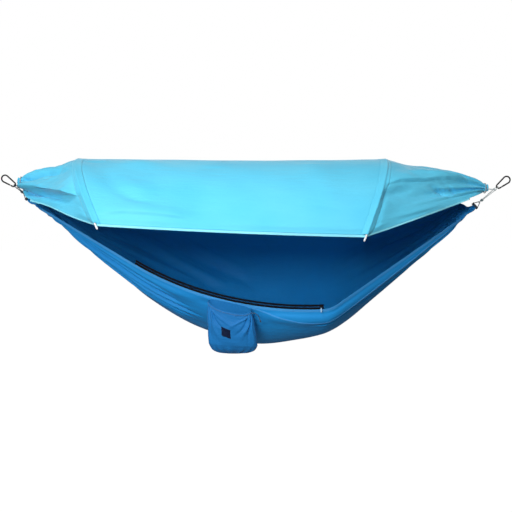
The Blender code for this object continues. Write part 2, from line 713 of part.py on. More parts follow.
def bed_grid():
    columns = [bed_section(*station) for station in STATIONS]
    depths = [BED_PLEAT_DEPTH * between(BED_PLEAT_shares, station[0] / GATHER_SPAN) for station in STATIONS]
    grid = pleated(columns, depths)
    ends = []
    for gather, rope_way in ((LEFT_GATHER, LEFT_ROPE_WAY), (RIGHT_GATHER, RIGHT_ROPE_WAY)):
        tail = bundle_ring(gather - rope_way * BUNDLE_TAIL, ACROSS, upright_of(rope_way),
                           BED_BUNDLE_RADIUS * BUNDLE_TAPER_share, BED_ROWS, True)
        waist = bundle_ring(gather, ACROSS, upright_of(rope_way), BED_BUNDLE_RADIUS, BED_ROWS, True)
        inner = bundle_ring(gather + rope_way * BUNDLE_NECK, ACROSS, upright_of(rope_way),
                            BED_BUNDLE_RADIUS * BUNDLE_FLARE_share, BED_ROWS, True)
        ends.append([tail, waist, inner])
    left = pleated(ends[0], [BUNDLE_PLEAT_DEPTH] * 3)
    right = pleated(ends[1][::-1], [BUNDLE_PLEAT_DEPTH] * 3)
    inside = []
    for column, station in zip(grid, STATIONS):
        if 2 * BUNDLE_NECK < station[0] < GATHER_SPAN - 2 * BUNDLE_NECK:
            inside.append(column)
    return left + inside + right


def build_bed():
    add_sheet("bed_sheet", bed_grid(), CLOTH_THICKNESS, "bed")
    front, rear = [], []
    for way, drop, inward in STATIONS:
        if not HEM_START_share * HEM_WIDTH < way < GATHER_SPAN - HEM_START_share * HEM_WIDTH:
            continue
        up_band, outward = band_frame(inward)
        front.append((on_edge_plane(way, drop) + up_band * FRONT_HEM_MIDDLE, up_band, outward))
        rear_middle = rear_edge(way) + REAR_BAND_UP * (TOUCH_GAP + HEM_WIDTH / 2)
        rear.append((rear_middle, REAR_BAND_UP, REAR_BAND_OUT))
    add_strip("bed_front_hem", trimmed(front, HEM_TRIM_share), HEM_WIDTH, HEM_THICKNESS, "hem")
    add_strip("bed_rear_hem", trimmed(rear, HEM_TRIM_share), HEM_WIDTH, HEM_THICKNESS, "hem")


class Bow:
    """One bent pole: a circle's arc in a plane that leans outwards at the top."""

    def __init__(self, way, drop, lean, half_angle, outward_sign):
        self.upright = UPWARD * math.cos(lean) + ALONG * (outward_sign * math.sin(lean))
        self.radius = POLE_SECTION_LENGTH * POLE_SECTIONS / (2 * half_angle)
        self.half_angle = half_angle
        self.centre = place(way, 0.0, -drop) - self.upright * (self.radius * math.cos(half_angle))
        self.inset = FERRULE_DIAMETER / 2 + POLE_CLEARANCE + HEM_THICKNESS / 2

    def direction(self, share):
        turn = self.half_angle * share
        return ACROSS * math.sin(turn) + self.upright * math.cos(turn)

    def pole(self, share):
        return self.centre + self.direction(share) * self.radius

    def cloth(self, share):
        return self.centre + self.direction(share) * (self.radius - self.inset)

    def run(self, share):
        """The way that the pole runs at a share, from its front end to its rear end."""
        turn = self.half_angle * share
        return ACROSS * math.cos(turn) - self.upright * math.sin(turn)

    def edge_direction(self, side):
        """The way that the pole runs out past the hem, at the front (-1) or the rear (+1)."""
        turn = self.half_angle
        return ACROSS * (side * math.cos(turn)) - self.upright * math.sin(turn)


LEFT_BOW = Bow(LEFT_TIP_WAY, LEFT_TIP_DROP, LEFT_BOW_LEAN, LEFT_BOW_HALF_ANGLE, -1.0)
RIGHT_BOW = Bow(RIGHT_TIP_WAY, RIGHT_TIP_DROP, RIGHT_BOW_LEAN, RIGHT_BOW_HALF_ANGLE, 1.0)
ROW_SHARES = [2 * j / CANOPY_ROWS - 1 for j in range(CANOPY_ROWS + 1)]


def canopy_middle(share):
    """A column between the two bows, at a share of the way from the left one."""
    slack = 4 * share * (1 - share)
    column = []
    for row in ROW_SHARES:
        point = LEFT_BOW.cloth(row).lerp(RIGHT_BOW.cloth(row), share)
        sag = CANOPY_RIDGE_SAG + (CANOPY_HEM_SAG - CANOPY_RIDGE_SAG) * abs(row)
        column.append(point - UPWARD * (sag * slack))
    return column


def canopy_end(bow, gather, share, puff):
    """A column between a bow and its gather, at a share of the way to the gather."""
    slack = 4 * share * (1 - share)
    ring = bundle_ring(gather, ACROSS, UPWARD, CANOPY_BUNDLE_RADIUS, CANOPY_ROWS, False)
    column = []
    for j, row in enumerate(ROW_SHARES):
        point = bow.cloth(row).lerp(ring[j], share)
        valley = CANOPY_VALLEY_DEPTH * math.exp(-((abs(row) - VALLEY_share) / VALLEY_HALF_share) ** 2)
        crown = puff * (1 - row * row) * share
        drop = CANOPY_END_HEM_SAG * row * row + valley * bow.direction(row).dot(UPWARD)
        inward = -ACROSS * (valley * bow.direction(row).dot(ACROSS))
        column.append(point + (UPWARD * (crown - drop) + inward) * slack)
    return column


LEFT_CANOPY_GATHER = place(LEFT_CANOPY_END, 0.0, LEFT_CANOPY_GATHER_RISE)
RIGHT_CANOPY_GATHER = place(RIGHT_CANOPY_END, 0.0, RIGHT_CANOPY_GATHER_RISE)


def canopy_end_columns(stations, bow, gather, ways, puff):
    """The pleated columns at some stations between a bow and its gather."""
    shares = [(station[0] - ways[0]) / (ways[1] - ways[0]) for station in stations]
    columns = [canopy_end(bow, gather, share, puff) for share in shares]
    return pleated(columns, [CANOPY_PLEAT_DEPTH * between(CANOPY_PLEAT_shares, share) for share in shares])


def canopy_columns():
    """The canopy's grid, and how many columns stand before the first shared station."""
    left = canopy_end_columns(STATIONS[:LEFT_TIP_COLUMN], LEFT_BOW, LEFT_CANOPY_GATHER,
                              (LEFT_TIP_WAY, LEFT_CANOPY_END), 0.0)
    right = canopy_end_columns(STATIONS[RIGHT_TIP_COLUMN + 1:], RIGHT_BOW, RIGHT_CANOPY_GATHER,
                               (RIGHT_TIP_WAY, RIGHT_CANOPY_END), RIGHT_END_PUFF)
    middle = []
    for station in STATIONS[LEFT_TIP_COLUMN:RIGHT_TIP_COLUMN + 1]:
        share = (station[0] - LEFT_TIP_WAY) / (RIGHT_TIP_WAY - LEFT_TIP_WAY)
        middle.append(canopy_middle(share))
    bundles = []
    for gather, inward in ((LEFT_CANOPY_GATHER, ALONG), (RIGHT_CANOPY_GATHER, -ALONG)):
        rings = []
        for reach, size in ((-BUNDLE_TAIL, BUNDLE_TAPER_share), (0.0, 1.0),
                            (BUNDLE_NECK, BUNDLE_FLARE_share)):
            rings.append(bundle_ring(gather + inward * reach, ACROSS, UPWARD, CANOPY_BUNDLE_RADIUS * size,
                                     CANOPY_ROWS, False))
        bundles.append(rings)
    start = pleated(bundles[0], [BUNDLE_PLEAT_DEPTH] * len(bundles[0]))
    stop = pleated(bundles[1][::-1], [BUNDLE_PLEAT_DEPTH] * len(bundles[1]))
    return start + left + middle + right + stop, len(start)


def canopy_hem_stations(grid, first, side):
    """Middle, width direction and thickness direction of the hem at each shared station."""
    row = 0 if side < 0 else CANOPY_ROWS
    found = []
    for i in range(len(STATIONS)):
        column = grid[i + first]
        wide = (column[row] - column[row - side]).normalized()
        run = (grid[i + first + 1][row] - grid[i + first - 1][row]).normalized()
        thick = run.cross(wide).normalized()
        found.append((column[row] + wide * (TOUCH_GAP + CANOPY_HEM_WIDTH / 2), wide, thick))
    return found


def build_canopy():
    grid, first = canopy_columns()
    add_sheet("canopy_sheet", grid, CLOTH_THICKNESS, "canopy")
    for name, side in (("canopy_front_hem", -1), ("canopy_rear_hem", 1)):
        stations = canopy_hem_stations(grid, first, side)
        kept = trimmed(stations[HEM_SKIP_COUNT:len(stations) - HEM_SKIP_COUNT], HEM_TRIM_share)
        add_strip(name, kept, CANOPY_HEM_WIDTH, HEM_THICKNESS, "canopy")
    for name, bow, column in (("left_pole_sleeve", LEFT_BOW, LEFT_TIP_COLUMN + first),
                              ("right_pole_sleeve", RIGHT_BOW, RIGHT_TIP_COLUMN + first)):
        build_sleeve(name, bow, grid, column)


def build_sleeve(name, bow, grid, column):
    """The cloth tunnel over a pole: from the canopy on one side over the pole to the other side."""
    clear = (FERRULE_DIAMETER / 2 + POLE_CLEARANCE + SLEEVE_THICKNESS / 2) / math.cos(math.pi / 6)
    lift = CLOTH_THICKNESS / 2 + TOUCH_GAP * 2 + SLEEVE_THICKNESS / 2
    rows = []
    for j, row in enumerate(ROW_SHARES):
        crease = grid[column][j]
        out = bow.direction(row)
        run = bow.direction(min(row + 0.05, 1.0)) - bow.direction(max(row - 0.05, -1.0))
        square = run.cross(out).normalized()
        profile = []
        for neighbour in (grid[column - 1][j], grid[column + 1][j]):
            reach = (neighbour - crease).normalized()
            rise = run.cross(reach).normalized()
            if rise.dot(out) < 0:
                rise = -rise
            profile.append(crease + reach * SLEEVE_REACH + rise * lift)
        if (profile[0] - profile[1]).dot(square) < 0:
            square = -square
        over = [bow.pole(row) + (square * math.cos(turn) + out * math.sin(turn)) * clear
                for turn in (0.0, math.pi / 3, 2 * math.pi / 3, math.pi)]
        rows.append([profile[0]] + over + [profile[1]])
    add_sheet(name, rows, SLEEVE_THICKNESS, "canopy")


def build_poles():
    for side_name, bow in (("left", LEFT_BOW), ("right", RIGHT_BOW)):
        along_bow = bow.direction(0.0).cross(ACROSS)
        nodes = [bow.pole(row) for row in ROW_SHARES]
        per_section = CANOPY_ROWS // POLE_SECTIONS
        for k in range(POLE_SECTIONS):
            path = nodes[k * per_section:(k + 1) * per_section + 1]
            ends = (bow.run(ROW_SHARES[k * per_section]), bow.run(ROW_SHARES[(k + 1) * per_section]))
            path[0] = path[0] + ends[0] * (TOUCH_GAP / 2)
            path[-1] = path[-1] - ends[1] * (TOUCH_GAP / 2)
            add_ring_tube(f"{side_name}_pole_section_{k + 1}", path, POLE_DIAMETER / 2, POLE_BORE / 2,
                          "pole", along_bow, ends)
        build_ferrules(f"{side_name}_pole_ferrule", nodes, per_section, along_bow)
        tails = []
        for end, name in ((0, "front"), (-1, "rear")):
            out = bow.edge_direction(1 if end else -1)
            tails.append(nodes[end] + out * (POLE_TIP_BORE_DEPTH * ELASTIC_END_share))
            build_pole_tip(f"{side_name}_{name}_pole_tip", nodes[end], out)
        add_tube(f"{side_name}_pole_elastic", [tails[0]] + nodes + [tails[1]], ELASTIC_DIAMETER / 2,
                 "elastic", hint=along_bow, sides=6)


def build_ferrules(name, nodes, per_section, hint):
    """Steel tubes over the joints between pole sections."""
    for k in range(1, POLE_SECTIONS):
        joint = nodes[k * per_section]
        before = (nodes[k * per_section - 1] - joint).normalized() * (FERRULE_LENGTH / 2)
        after = (nodes[k * per_section + 1] - joint).normalized() * (FERRULE_LENGTH / 2)
        add_ring_tube(f"{name}_{k}", [joint + before, joint, joint + after], FERRULE_DIAMETER / 2,
                      POLE_DIAMETER / 2 + TOUCH_GAP, "steel", hint)


def build_pole_tip(name, end, out):
    """A turned plastic tip on the pole's end, bored for the elastic."""
    radius = POLE_TIP_DIAMETER / 2
    bore = ELASTIC_DIAMETER / 2 + TOUCH_GAP
    profile = [(POLE_TIP_BORE_DEPTH, 0.0), (POLE_TIP_BORE_DEPTH, bore), (TOUCH_GAP, bore),
               (TOUCH_GAP, radius), (POLE_TIP_LENGTH - radius, radius),
               (POLE_TIP_LENGTH - radius * TIP_NOSE_share, radius * TIP_SHOULDER_share),
               (POLE_TIP_LENGTH, 0.0)]
    add_turned(name, profile, end, out, "tip")


def net_grid(upper, lower, outward_hint):
    """A net panel between two rows of points, billowing a little."""
    grid = []
    for top, bottom in zip(upper, lower):
        column = []
        for k in range(NET_ROWS + 1):
            share = k / NET_ROWS
            billow = NET_BILLOW * 4 * share * (1 - share)
            column.append(top.lerp(bottom, share) + outward_hint * billow)
        grid.append(column)
    return grid


def build_nets():
    grid, first = canopy_columns()
    start, stop = NET_SKIP_COUNT, len(STATIONS) - NET_SKIP_COUNT
    for name, side in (("front_net", -1), ("rear_net", 1)):
        hems = canopy_hem_stations(grid, first, side)
        upper, lower = [], []
        for i in range(start, stop):
            way, drop, inward = STATIONS[i]
            middle, wide, _ = hems[i]
            upper.append(middle + wide * (CANOPY_HEM_WIDTH / 2 + NET_EDGE_GAP))
            if side < 0:
                zipped = ARC_LEFT_WAY - TOUCH_GAP < way < ARC_RIGHT_WAY + TOUCH_GAP
                edge = NET_FRONT_EDGE if zipped else FRONT_HEM_MIDDLE + HEM_WIDTH / 2 + NET_EDGE_GAP
                lower.append(on_edge_plane(way, drop) + band_frame(inward)[0] * edge)
            else:
                lower.append(rear_edge(way) + REAR_BAND_UP * (TOUCH_GAP + HEM_WIDTH + NET_EDGE_GAP))
        add_sheet(name, net_grid(upper, lower, -UPWARD * (side > 0)), NET_THICKNESS, "net")


def arc_band_stations(start, stop, segments, up, out):
    found = []
    for i in range(segments + 1):
        angle = start + (stop - start) * i / segments
        up_band, outward = band_frame(arc_frame(angle)[1])
        found.append((arc_place(angle, up, out), up_band, outward))
    return found


SLIDER_SETBACK = ZIP_STOP_LENGTH * STOP_ROOM_share + SLIDER_LENGTH / 2 + TOUCH_GAP
SLIDER_REST_ANGLE = ZIP_RIGHT_ANGLE - SLIDER_SETBACK / FRONT_ARC_RADIUS


def build_zip():
    lower = arc_band_stations(ZIP_LEFT_ANGLE, ZIP_RIGHT_ANGLE, ZIP_SEGMENTS, -TAPE_MIDDLE, 0.0)
    upper = arc_band_stations(ZIP_LEFT_ANGLE, ZIP_RIGHT_ANGLE, ZIP_SEGMENTS, TAPE_MIDDLE, 0.0)
    add_strip("zip_lower_tape", lower, ZIP_TAPE_WIDTH, ZIP_TAPE_THICKNESS, "tape")
    add_strip("zip_upper_tape", upper, ZIP_TAPE_WIDTH, ZIP_TAPE_THICKNESS, "tape")
    stop_turn = ZIP_STOP_LENGTH / FRONT_ARC_RADIUS
    gap_turn = TOUCH_GAP / FRONT_ARC_RADIUS
    stops = []
    for near, far in ((ZIP_LEFT_ANGLE + stop_turn / 2, 1), (ZIP_RIGHT_ANGLE - stop_turn / 2, -1)):
        stops.append((near, near + far * stop_turn))
    teeth = arc_band_stations(stops[0][1] + gap_turn, stops[1][1] - gap_turn, ZIP_SEGMENTS, 0.0, 0.0)
    add_strip("zip_teeth", teeth, ZIP_TEETH_WIDTH, ZIP_TEETH_THICKNESS, "zip")
    for side_name, (start, stop) in zip(("left", "right"), stops):
        add_strip(f"zip_{side_name}_stop", arc_band_stations(start, stop, 1, 0.0, 0.0), ZIP_TEETH_WIDTH,
                  ZIP_STOP_THICKNESS, "steel")
    build_slider()


WING_OUT = ZIP_TEETH_THICKNESS / 2 + TOUCH_GAP + SLIDER_WING_THICKNESS / 2


def build_slider():
    """The slider's two wings with its bridge, and the pull that hangs from the bridge."""
    angle = SLIDER_REST_ANGLE
    along, inward = arc_frame(angle)
    up_band, outward = band_frame(inward)
    axes = (along, up_band, outward)
    wing = (SLIDER_LENGTH, SLIDER_WIDTH, SLIDER_WING_THICKNESS)
    front = add_box("zip_slider", arc_place(angle, 0.0, WING_OUT), axes, wing, "steel")
    add_box("zip_slider_back", arc_place(angle, 0.0, -WING_OUT), axes, wing, "steel")
    wing_face = WING_OUT + SLIDER_WING_THICKNESS / 2
    bar_middle = wing_face + SLIDER_BRIDGE_HEIGHT - SLIDER_BRIDGE_BAR / 2
    bridge_span = SLIDER_LENGTH * BRIDGE_share
    path = [arc_place(angle, 0.0, wing_face - SLIDER_BRIDGE_BAR / 2) - along * (bridge_span / 2),
            arc_place(angle, 0.0, bar_middle) - along * (bridge_span / 2),
            arc_place(angle, 0.0, bar_middle) + along * (bridge_span / 2),
            arc_place(angle, 0.0, wing_face - SLIDER_BRIDGE_BAR / 2) + along * (bridge_span / 2)]
    bridge = add_tube("slider_bridge", path, SLIDER_BRIDGE_BAR / 2, "steel", hint=up_band, sides=6)
    combine(front, bridge, "UNION")
    build_pull(arc_place(angle, 0.0, bar_middle), along)


def build_pull(bar, along):
    """A cord loop round the slider's bridge with a flat tab on its end, hanging free."""
    down = (-UPWARD + along * UPWARD.dot(along)).normalized()
    face = along.cross(down)
    radius = PULL_CORD_DIAMETER / 2
    half = SLIDER_BRIDGE_BAR / 2 + TOUCH_GAP + radius
    start = bar - down * half
    tab = add_box("zip_pull", bar + down * (PULL_CORD_LENGTH + PULL_LENGTH / 2), (along, down, face),
                  (PULL_WIDTH, PULL_LENGTH, PULL_THICKNESS), "pull")
    loop = add_tube("pull_loop", open_eye(start, down, face, half, half + PULL_CORD_LENGTH + PULL_THICKNESS,
                                          STRAND_GAP_share * radius), radius, "pull", hint=along, sides=6)
    combine(tab, loop, "UNION")


class RopeFrame:
    """Directions at one end: down the hang rope from the carabiner to the bed's gather."""

    def __init__(self, hook, gather, way, knot_at, run):
        self.hook = hook
        self.gather = gather
        self.way = way
        self.upright = upright_of(way)
        self.spread = ACROSS * math.cos(HANG_EYE_SPREAD) + self.upright * math.sin(HANG_EYE_SPREAD)
        self.knot_at = knot_at
        self.run = run


LEFT_ROPE = RopeFrame(LEFT_HOOK, LEFT_GATHER, LEFT_ROPE_WAY, LEFT_KNOT_AT, LEFT_ROPE_RUN)
RIGHT_ROPE = RopeFrame(RIGHT_HOOK, RIGHT_GATHER, RIGHT_ROPE_WAY, RIGHT_KNOT_AT, RIGHT_ROPE_RUN)


def open_eye(start, way, side, half, length, end_half):
    """A path from a knot's middle out along one strand, round the eye at the start and back again."""
    lean = math.atan2(half - end_half, length - half)
    path = [start + way * length + side * end_half]
    for k in range(EYE_STEPS + 1):
        turn = math.pi / 2 - lean + (math.pi + 2 * lean) * k / EYE_STEPS
        path.append(start + way * (half + half * math.cos(turn)) + side * (half * math.sin(turn)))
    path.append(start + way * length - side * end_half)
    return path


def build_hang_rope(name, rope, kind):
    """A doubled rope: an eye round the carabiner's rod, a knot, and a small eye for the end cord."""
    radius = HANG_ROPE_DIAMETER / 2
    start = rope.hook - rope.way * HANG_EYE_RISE
    knot_half = KNOT_LENGTH / 2
    strand_gap = STRAND_GAP_share * radius
    upper_path = open_eye(start, rope.way, rope.spread, HANG_EYE_WIDTH / 2, HANG_EYE_RISE + rope.knot_at,
                          strand_gap)
    body = add_tube(name, upper_path, radius, kind, hint=rope.spread.cross(rope.way))
    eye_start = rope.hook + rope.way * (rope.knot_at + knot_half + LOWER_EYE_LENGTH)
    lower_path = open_eye(eye_start, -rope.way, ACROSS, LOWER_EYE_WIDTH / 2,
                          LOWER_EYE_LENGTH + knot_half * EYE_IN_KNOT_share, strand_gap)
    eye = add_tube(f"{name}_lower_eye", lower_path, radius, kind, hint=rope.upright)
    combine(body, eye, "UNION")
    peak = KNOT_DIAMETER / 2
    dip = peak * KNOT_DIP_share
    profile = [(-knot_half, 0.0), (-knot_half, peak * KNOT_END_share)]
    for k in range(2 * KNOT_TURNS + 1):
        way = knot_half * KNOT_TURN_REACH_share * (k / KNOT_TURNS - 1)
        profile.append((way, peak if k % 2 else dip))
    profile += [(knot_half, peak * KNOT_END_share), (knot_half, 0.0)]
    knot = add_turned(f"{name}_knot", profile, rope.hook + rope.way * rope.knot_at, rope.way, kind)
    combine(body, knot, "UNION")


def round_path(middle, radius, side, upright):
    turns = [math.tau * k / WHIPPING_STEPS for k in range(WHIPPING_STEPS)]
    return [middle + side * (radius * math.cos(turn)) + upright * (radius * math.sin(turn)) for turn in turns]


def build_end_cord(name, rope, kind):
    """The cord whipped round the gathered end, with a bridle through the rope's lower eye."""
    radius = END_CORD_DIAMETER / 2
    eye_tip = rope.knot_at + KNOT_LENGTH / 2 + LOWER_EYE_LENGTH
    ring_radius = BED_BUNDLE_RADIUS + BUNDLE_PLEAT_DEPTH + BED_WHIPPING_ROOM + radius
    ring_path = round_path(rope.gather, ring_radius, ACROSS, rope.upright)
    ring = add_tube(name, ring_path, radius, kind, closed=True, hint=rope.way)
    hook_way = eye_tip - (HANG_ROPE_DIAMETER + END_CORD_DIAMETER) / 2 - TOUCH_GAP
    half = END_CORD_EYE_WIDTH / 2
    bend = []
    for k in range(BRIDLE_STEPS + 1):
        turn = math.pi / 2 + math.pi * k / BRIDLE_STEPS
        run = rope.way * (hook_way + half + half * math.cos(turn))
        bend.append(rope.hook + run + rope.upright * (half * math.sin(turn)))
    step = rope.upright * ring_radius
    bridle_path = [rope.gather + step] + bend + [rope.gather - step]
    bridle = add_tube(f"{name}_bridle", bridle_path, radius * BRANCH_share, kind, hint=ACROSS)
    combine(ring, bridle, "UNION")


def build_canopy_cord(name, rope, canopy_gather):
    """The thin cord round the canopy's gathered end, tied round the hang rope by the carabiner."""
    radius = CANOPY_CORD_DIAMETER / 2
    ring_radius = CANOPY_BUNDLE_RADIUS + BUNDLE_PLEAT_DEPTH + CANOPY_WHIPPING_ROOM + radius
    ring_path = round_path(canopy_gather, ring_radius, ACROSS, UPWARD)
    ring = add_tube(name, ring_path, radius, "pale_rope", closed=True, hint=ALONG, sides=6)
    wide_half = HANG_EYE_WIDTH / 2
    narrow_half = HANG_ROPE_DIAMETER / 2
    taper = (CANOPY_CORD_AT + HANG_EYE_RISE - wide_half) / (rope.knot_at + HANG_EYE_RISE - wide_half)
    strand_half = wide_half + (narrow_half - wide_half) * taper
    hold_half = HANG_ROPE_DIAMETER / 2 + TOUCH_GAP * 2 + radius
    middle = rope.hook + rope.way * CANOPY_CORD_AT
    square = rope.way.cross(rope.spread).normalized()
    loop_path = []
    for end in (1, -1):
        for k in range(HOLD_STEPS + 1):
            turn = -math.pi / 2 + math.pi * k / HOLD_STEPS
            loop_path.append(middle + rope.spread * (end * (strand_half + hold_half * math.cos(turn)))
                             + square * (end * hold_half * math.sin(turn)))
    loop = add_tube(f"{name}_hold", loop_path, radius, "pale_rope", closed=True, hint=rope.way, sides=6)
    combine(ring, loop, "UNION")
    toward = (middle - canopy_gather).normalized()
    for k, side in enumerate((1, -1)):
        start = middle + rope.spread * (side * (strand_half + hold_half))
        level = toward.z * ring_radius * STRAND_LEVEL_share
        reach = math.sqrt(ring_radius ** 2 - level ** 2)
        stop = canopy_gather + ACROSS * (side * reach) + UPWARD * level
        strand = add_tube(f"{name}_strand_{k}", [start, stop], radius * THIN_BRANCH_share, "pale_rope",
                          hint=ALONG, sides=6)
        combine(ring, strand, "UNION")


class CarabinerFrame:
    """A carabiner's plane: outwards to the strap, and upwards across it; its gate is on the lower side."""

    def __init__(self, hook, tilt, outward_sign):
        self.hook = hook
        self.out = Vector((outward_sign * math.cos(tilt), 0.0, math.sin(tilt)))
        self.up = Vector((-outward_sign * math.sin(tilt), 0.0, math.cos(tilt)))
        self.narrow = (CARABINER_NARROW_WIDTH - CARABINER_ROD) / 2
        self.broad = (CARABINER_WIDTH - CARABINER_ROD) / 2
        self.length = CARABINER_LENGTH - CARABINER_ROD
        gap = self.length - self.narrow - self.broad
        self.lean = math.asin((self.broad - self.narrow) / gap)
        self.side_length = math.sqrt(gap ** 2 - (self.broad - self.narrow) ** 2)

    def at(self, out, up):
        return self.hook + self.out * out + self.up * up

    def round_point(self, middle, radius, turn):
        return self.at(middle + radius * math.cos(turn), radius * math.sin(turn))

    def gate_foot(self):
        """Where the lower straight side starts, and the way it runs."""
        turn = -(math.pi / 2 + self.lean)
        start = self.round_point(self.narrow, self.narrow, turn)
        far_middle = self.length - self.broad
        stop = self.round_point(far_middle, self.broad, turn)
        return start, (stop - start).normalized()


LEFT_CARABINER = CarabinerFrame(LEFT_HOOK, LEFT_CARABINER_TILT, -1.0)
RIGHT_CARABINER = CarabinerFrame(RIGHT_HOOK, RIGHT_CARABINER_TILT, 1.0)


def add_round_plug(name, origin, along, reach, radius):
    """A plain round bar between two ways along its axis."""
    profile = [(reach[0], 0.0), (reach[0], radius), (reach[1], radius), (reach[1], 0.0)]
    return add_turned(name, profile, origin, along, "anodised")


def build_carabiner(side_name, frame):
    """The bent body with its tongue, the gate, the rivet that joins them and the gate's spring."""
    start, run = frame.gate_foot()
    far_middle = frame.length - frame.broad
    square_turn = math.pi / 2 + frame.lean
    path = [start + run * GATE_FOOT_ALONG]
    for k in range(NARROW_END_STEPS + 1):
        turn = -square_turn - (math.tau - 2 * square_turn) * k / NARROW_END_STEPS
        path.append(frame.round_point(frame.narrow, frame.narrow, turn))
    for k in range(BROAD_END_STEPS + 1):
        turn = square_turn - 2 * square_turn * k / BROAD_END_STEPS
        path.append(frame.round_point(far_middle, frame.broad, turn))
    nose = start + run * (GATE_FOOT_ALONG + RIVET_SETBACK + GATE_LENGTH + GATE_FACE_GAP)
    path.append(nose)
    rod = CARABINER_ROD / 2
    body = add_tube(f"{side_name}_carabiner_body", path, rod, "anodised")
    rivet = start + run * (GATE_FOOT_ALONG + RIVET_SETBACK)
    square = run.cross(ACROSS)
    tongue_reach = (RIVET_SETBACK - GATE_FACE_GAP * 2) * TONGUE_END_share
    tongue = add_box("tongue", rivet - run * (RIVET_SETBACK / 2 + rod / 4), (run, ACROSS, square),
                     (RIVET_SETBACK + rod / 2, TONGUE_THICKNESS, 2 * tongue_reach), "anodised")
    tongue_end = add_round_plug("tongue_end", rivet, ACROSS, (-TONGUE_THICKNESS / 2, TONGUE_THICKNESS / 2),
                                tongue_reach)
    rivet_bore = RIVET_DIAMETER / 2 + TOUCH_GAP
    hole = add_round_plug("rivet_hole", rivet, ACROSS, (-rod * 2, rod * 2), rivet_bore)
    combine(body, tongue, "UNION")
    combine(body, tongue_end, "UNION")
    combine(body, hole, "DIFFERENCE")
    build_gate(side_name, rivet, run, square, tongue_reach, hole)


def build_gate(side_name, rivet, run, square, tongue_reach, hole):
    """The round gate, slotted for the tongue and bored for its spring, with the rivet and the spring."""
    rod = CARABINER_ROD / 2
    profile = [(rod * back, rod * out) for back, out in GATE_FOOT_shares]
    profile += [(GATE_LENGTH, rod), (GATE_LENGTH, 0.0)]
    gate = add_turned(f"{side_name}_carabiner_gate", profile, rivet, run, "anodised", sides=ROUND_SIDES * 2)
    slot_end = tongue_reach + GATE_FACE_GAP
    slot = add_box("gate_slot", rivet + run * ((slot_end - 2 * rod) / 2), (run, ACROSS, square),
                   (slot_end + 2 * rod, TONGUE_THICKNESS + 2 * TOUCH_GAP, 4 * rod), "anodised")
    bore_radius = SPRING_DIAMETER / 2 + TOUCH_GAP
    bore_end = slot_end + SPRING_LENGTH + GATE_FACE_GAP
    bore = add_round_plug("spring_bore", rivet, run, (0.0, bore_end), bore_radius)
    combine(gate, slot, "DIFFERENCE")
    combine(gate, bore, "DIFFERENCE")
    combine(gate, hole, "DIFFERENCE")
    shaft = RIVET_DIAMETER / 2
    head = RIVET_HEAD_DIAMETER / 2
    inner = rod + TOUCH_GAP
    outer = inner + RIVET_HEAD_HEIGHT
    add_turned(f"{side_name}_gate_rivet", [(-outer, 0.0), (-outer, head), (-inner, head), (-inner, shaft),
                                           (inner, shaft), (inner, head), (outer, head), (outer, 0.0)],
               rivet, ACROSS, "steel")
    coil_radius = (SPRING_DIAMETER - SPRING_WIRE) / 2
    start = slot_end + SPRING_WIRE / 2
    steps = SPRING_TURNS * SPRING_STEPS
    path = []
    for k in range(steps + 1):
        turn = math.tau * k / SPRING_STEPS
        path.append(rivet + run * (start + (SPRING_LENGTH - SPRING_WIRE) * k / steps)
                    + ACROSS * (coil_radius * math.cos(turn)) + square * (coil_radius * math.sin(turn)))
    add_tube(f"{side_name}_gate_spring", path, SPRING_WIRE / 2, "steel", hint=square, sides=4)


def pouch_frame():
    """The pouch's hinge on the front hem: its middle and the way it runs."""
    out = HEM_THICKNESS / 2 + POUCH_HINGE_GAP + POUCH_WALL / 2
    return arc_place(POUCH_CENTRE_ANGLE, FRONT_HEM_MIDDLE, out), arc_frame(POUCH_CENTRE_ANGLE)[0]


POUCH_TOP, POUCH_ALONG = pouch_frame()
FRONTWARD = -ACROSS


def pouch_point(turn, level):
    """A point of the pouch by its turn, front at a quarter turn, and its level from nought at the mouth."""
    wider = (POUCH_WIDTH - POUCH_MOUTH_WIDTH) * smooth_between(POUCH_WIDTH_shares, level)
    deeper = (POUCH_DEPTH - POUCH_MOUTH_DEPTH) * smooth_between(POUCH_DEPTH_shares, level)
    half_wide = (POUCH_MOUTH_WIDTH + wider) / 2
    half_deep = (POUCH_MOUTH_DEPTH + deeper) / 2
    if level > POUCH_BOTTOM_shares[0][0]:
        closing = smooth_between(POUCH_BOTTOM_shares, level)
        half_wide *= closing
        half_deep *= closing
    side = math.cos(turn)
    front = math.sin(turn)
    across = half_wide * math.copysign(abs(side) ** POUCH_ROUND_share, side)
    depth = half_deep * math.copysign(abs(front) ** POUCH_ROUND_share, front)
    top = POUCH_ALONG.z / POUCH_ALONG.x * across - POUCH_MOUTH_DROP * (0.5 + 0.5 * front) * (1 - level)
    drop = POUCH_HEIGHT * level
    slant = top * (1 - level)
    middle_depth = half_deep
    hinge_depth = POUCH_ALONG.y / POUCH_ALONG.x * across * (1 - level)
    back = hinge_depth - middle_depth - depth + POUCH_HANG_BACK * level
    return POUCH_TOP + Vector((across + POUCH_SKEW * level, back, slant - drop))


def build_pouch():
    grid = []
    for k in range(POUCH_SIDES):
        turn = math.tau * k / POUCH_SIDES
        grid.append([pouch_point(turn, level / POUCH_LEVELS) for level in range(POUCH_LEVELS + 1)])
    rows = POUCH_LEVELS + 1
    points = [point for column in grid for point in column]
    faces = []
    for i in range(POUCH_SIDES):
        n = (i + 1) % POUCH_SIDES
        for j in range(rows - 1):
            faces.append((i * rows + j, i * rows + j + 1, n * rows + j + 1, n * rows + j))
    faces.append(tuple(i * rows + rows - 1 for i in range(POUCH_SIDES)))
    bag = add_mesh("pouch_bag", points, faces, "pouch", smooth=True)
    wall = bag.modifiers.new("wall", "SOLIDIFY")
    wall.thickness = POUCH_WALL
    wall.offset = 0.0
    build_drawstring(grid)
    build_label(bag.data)


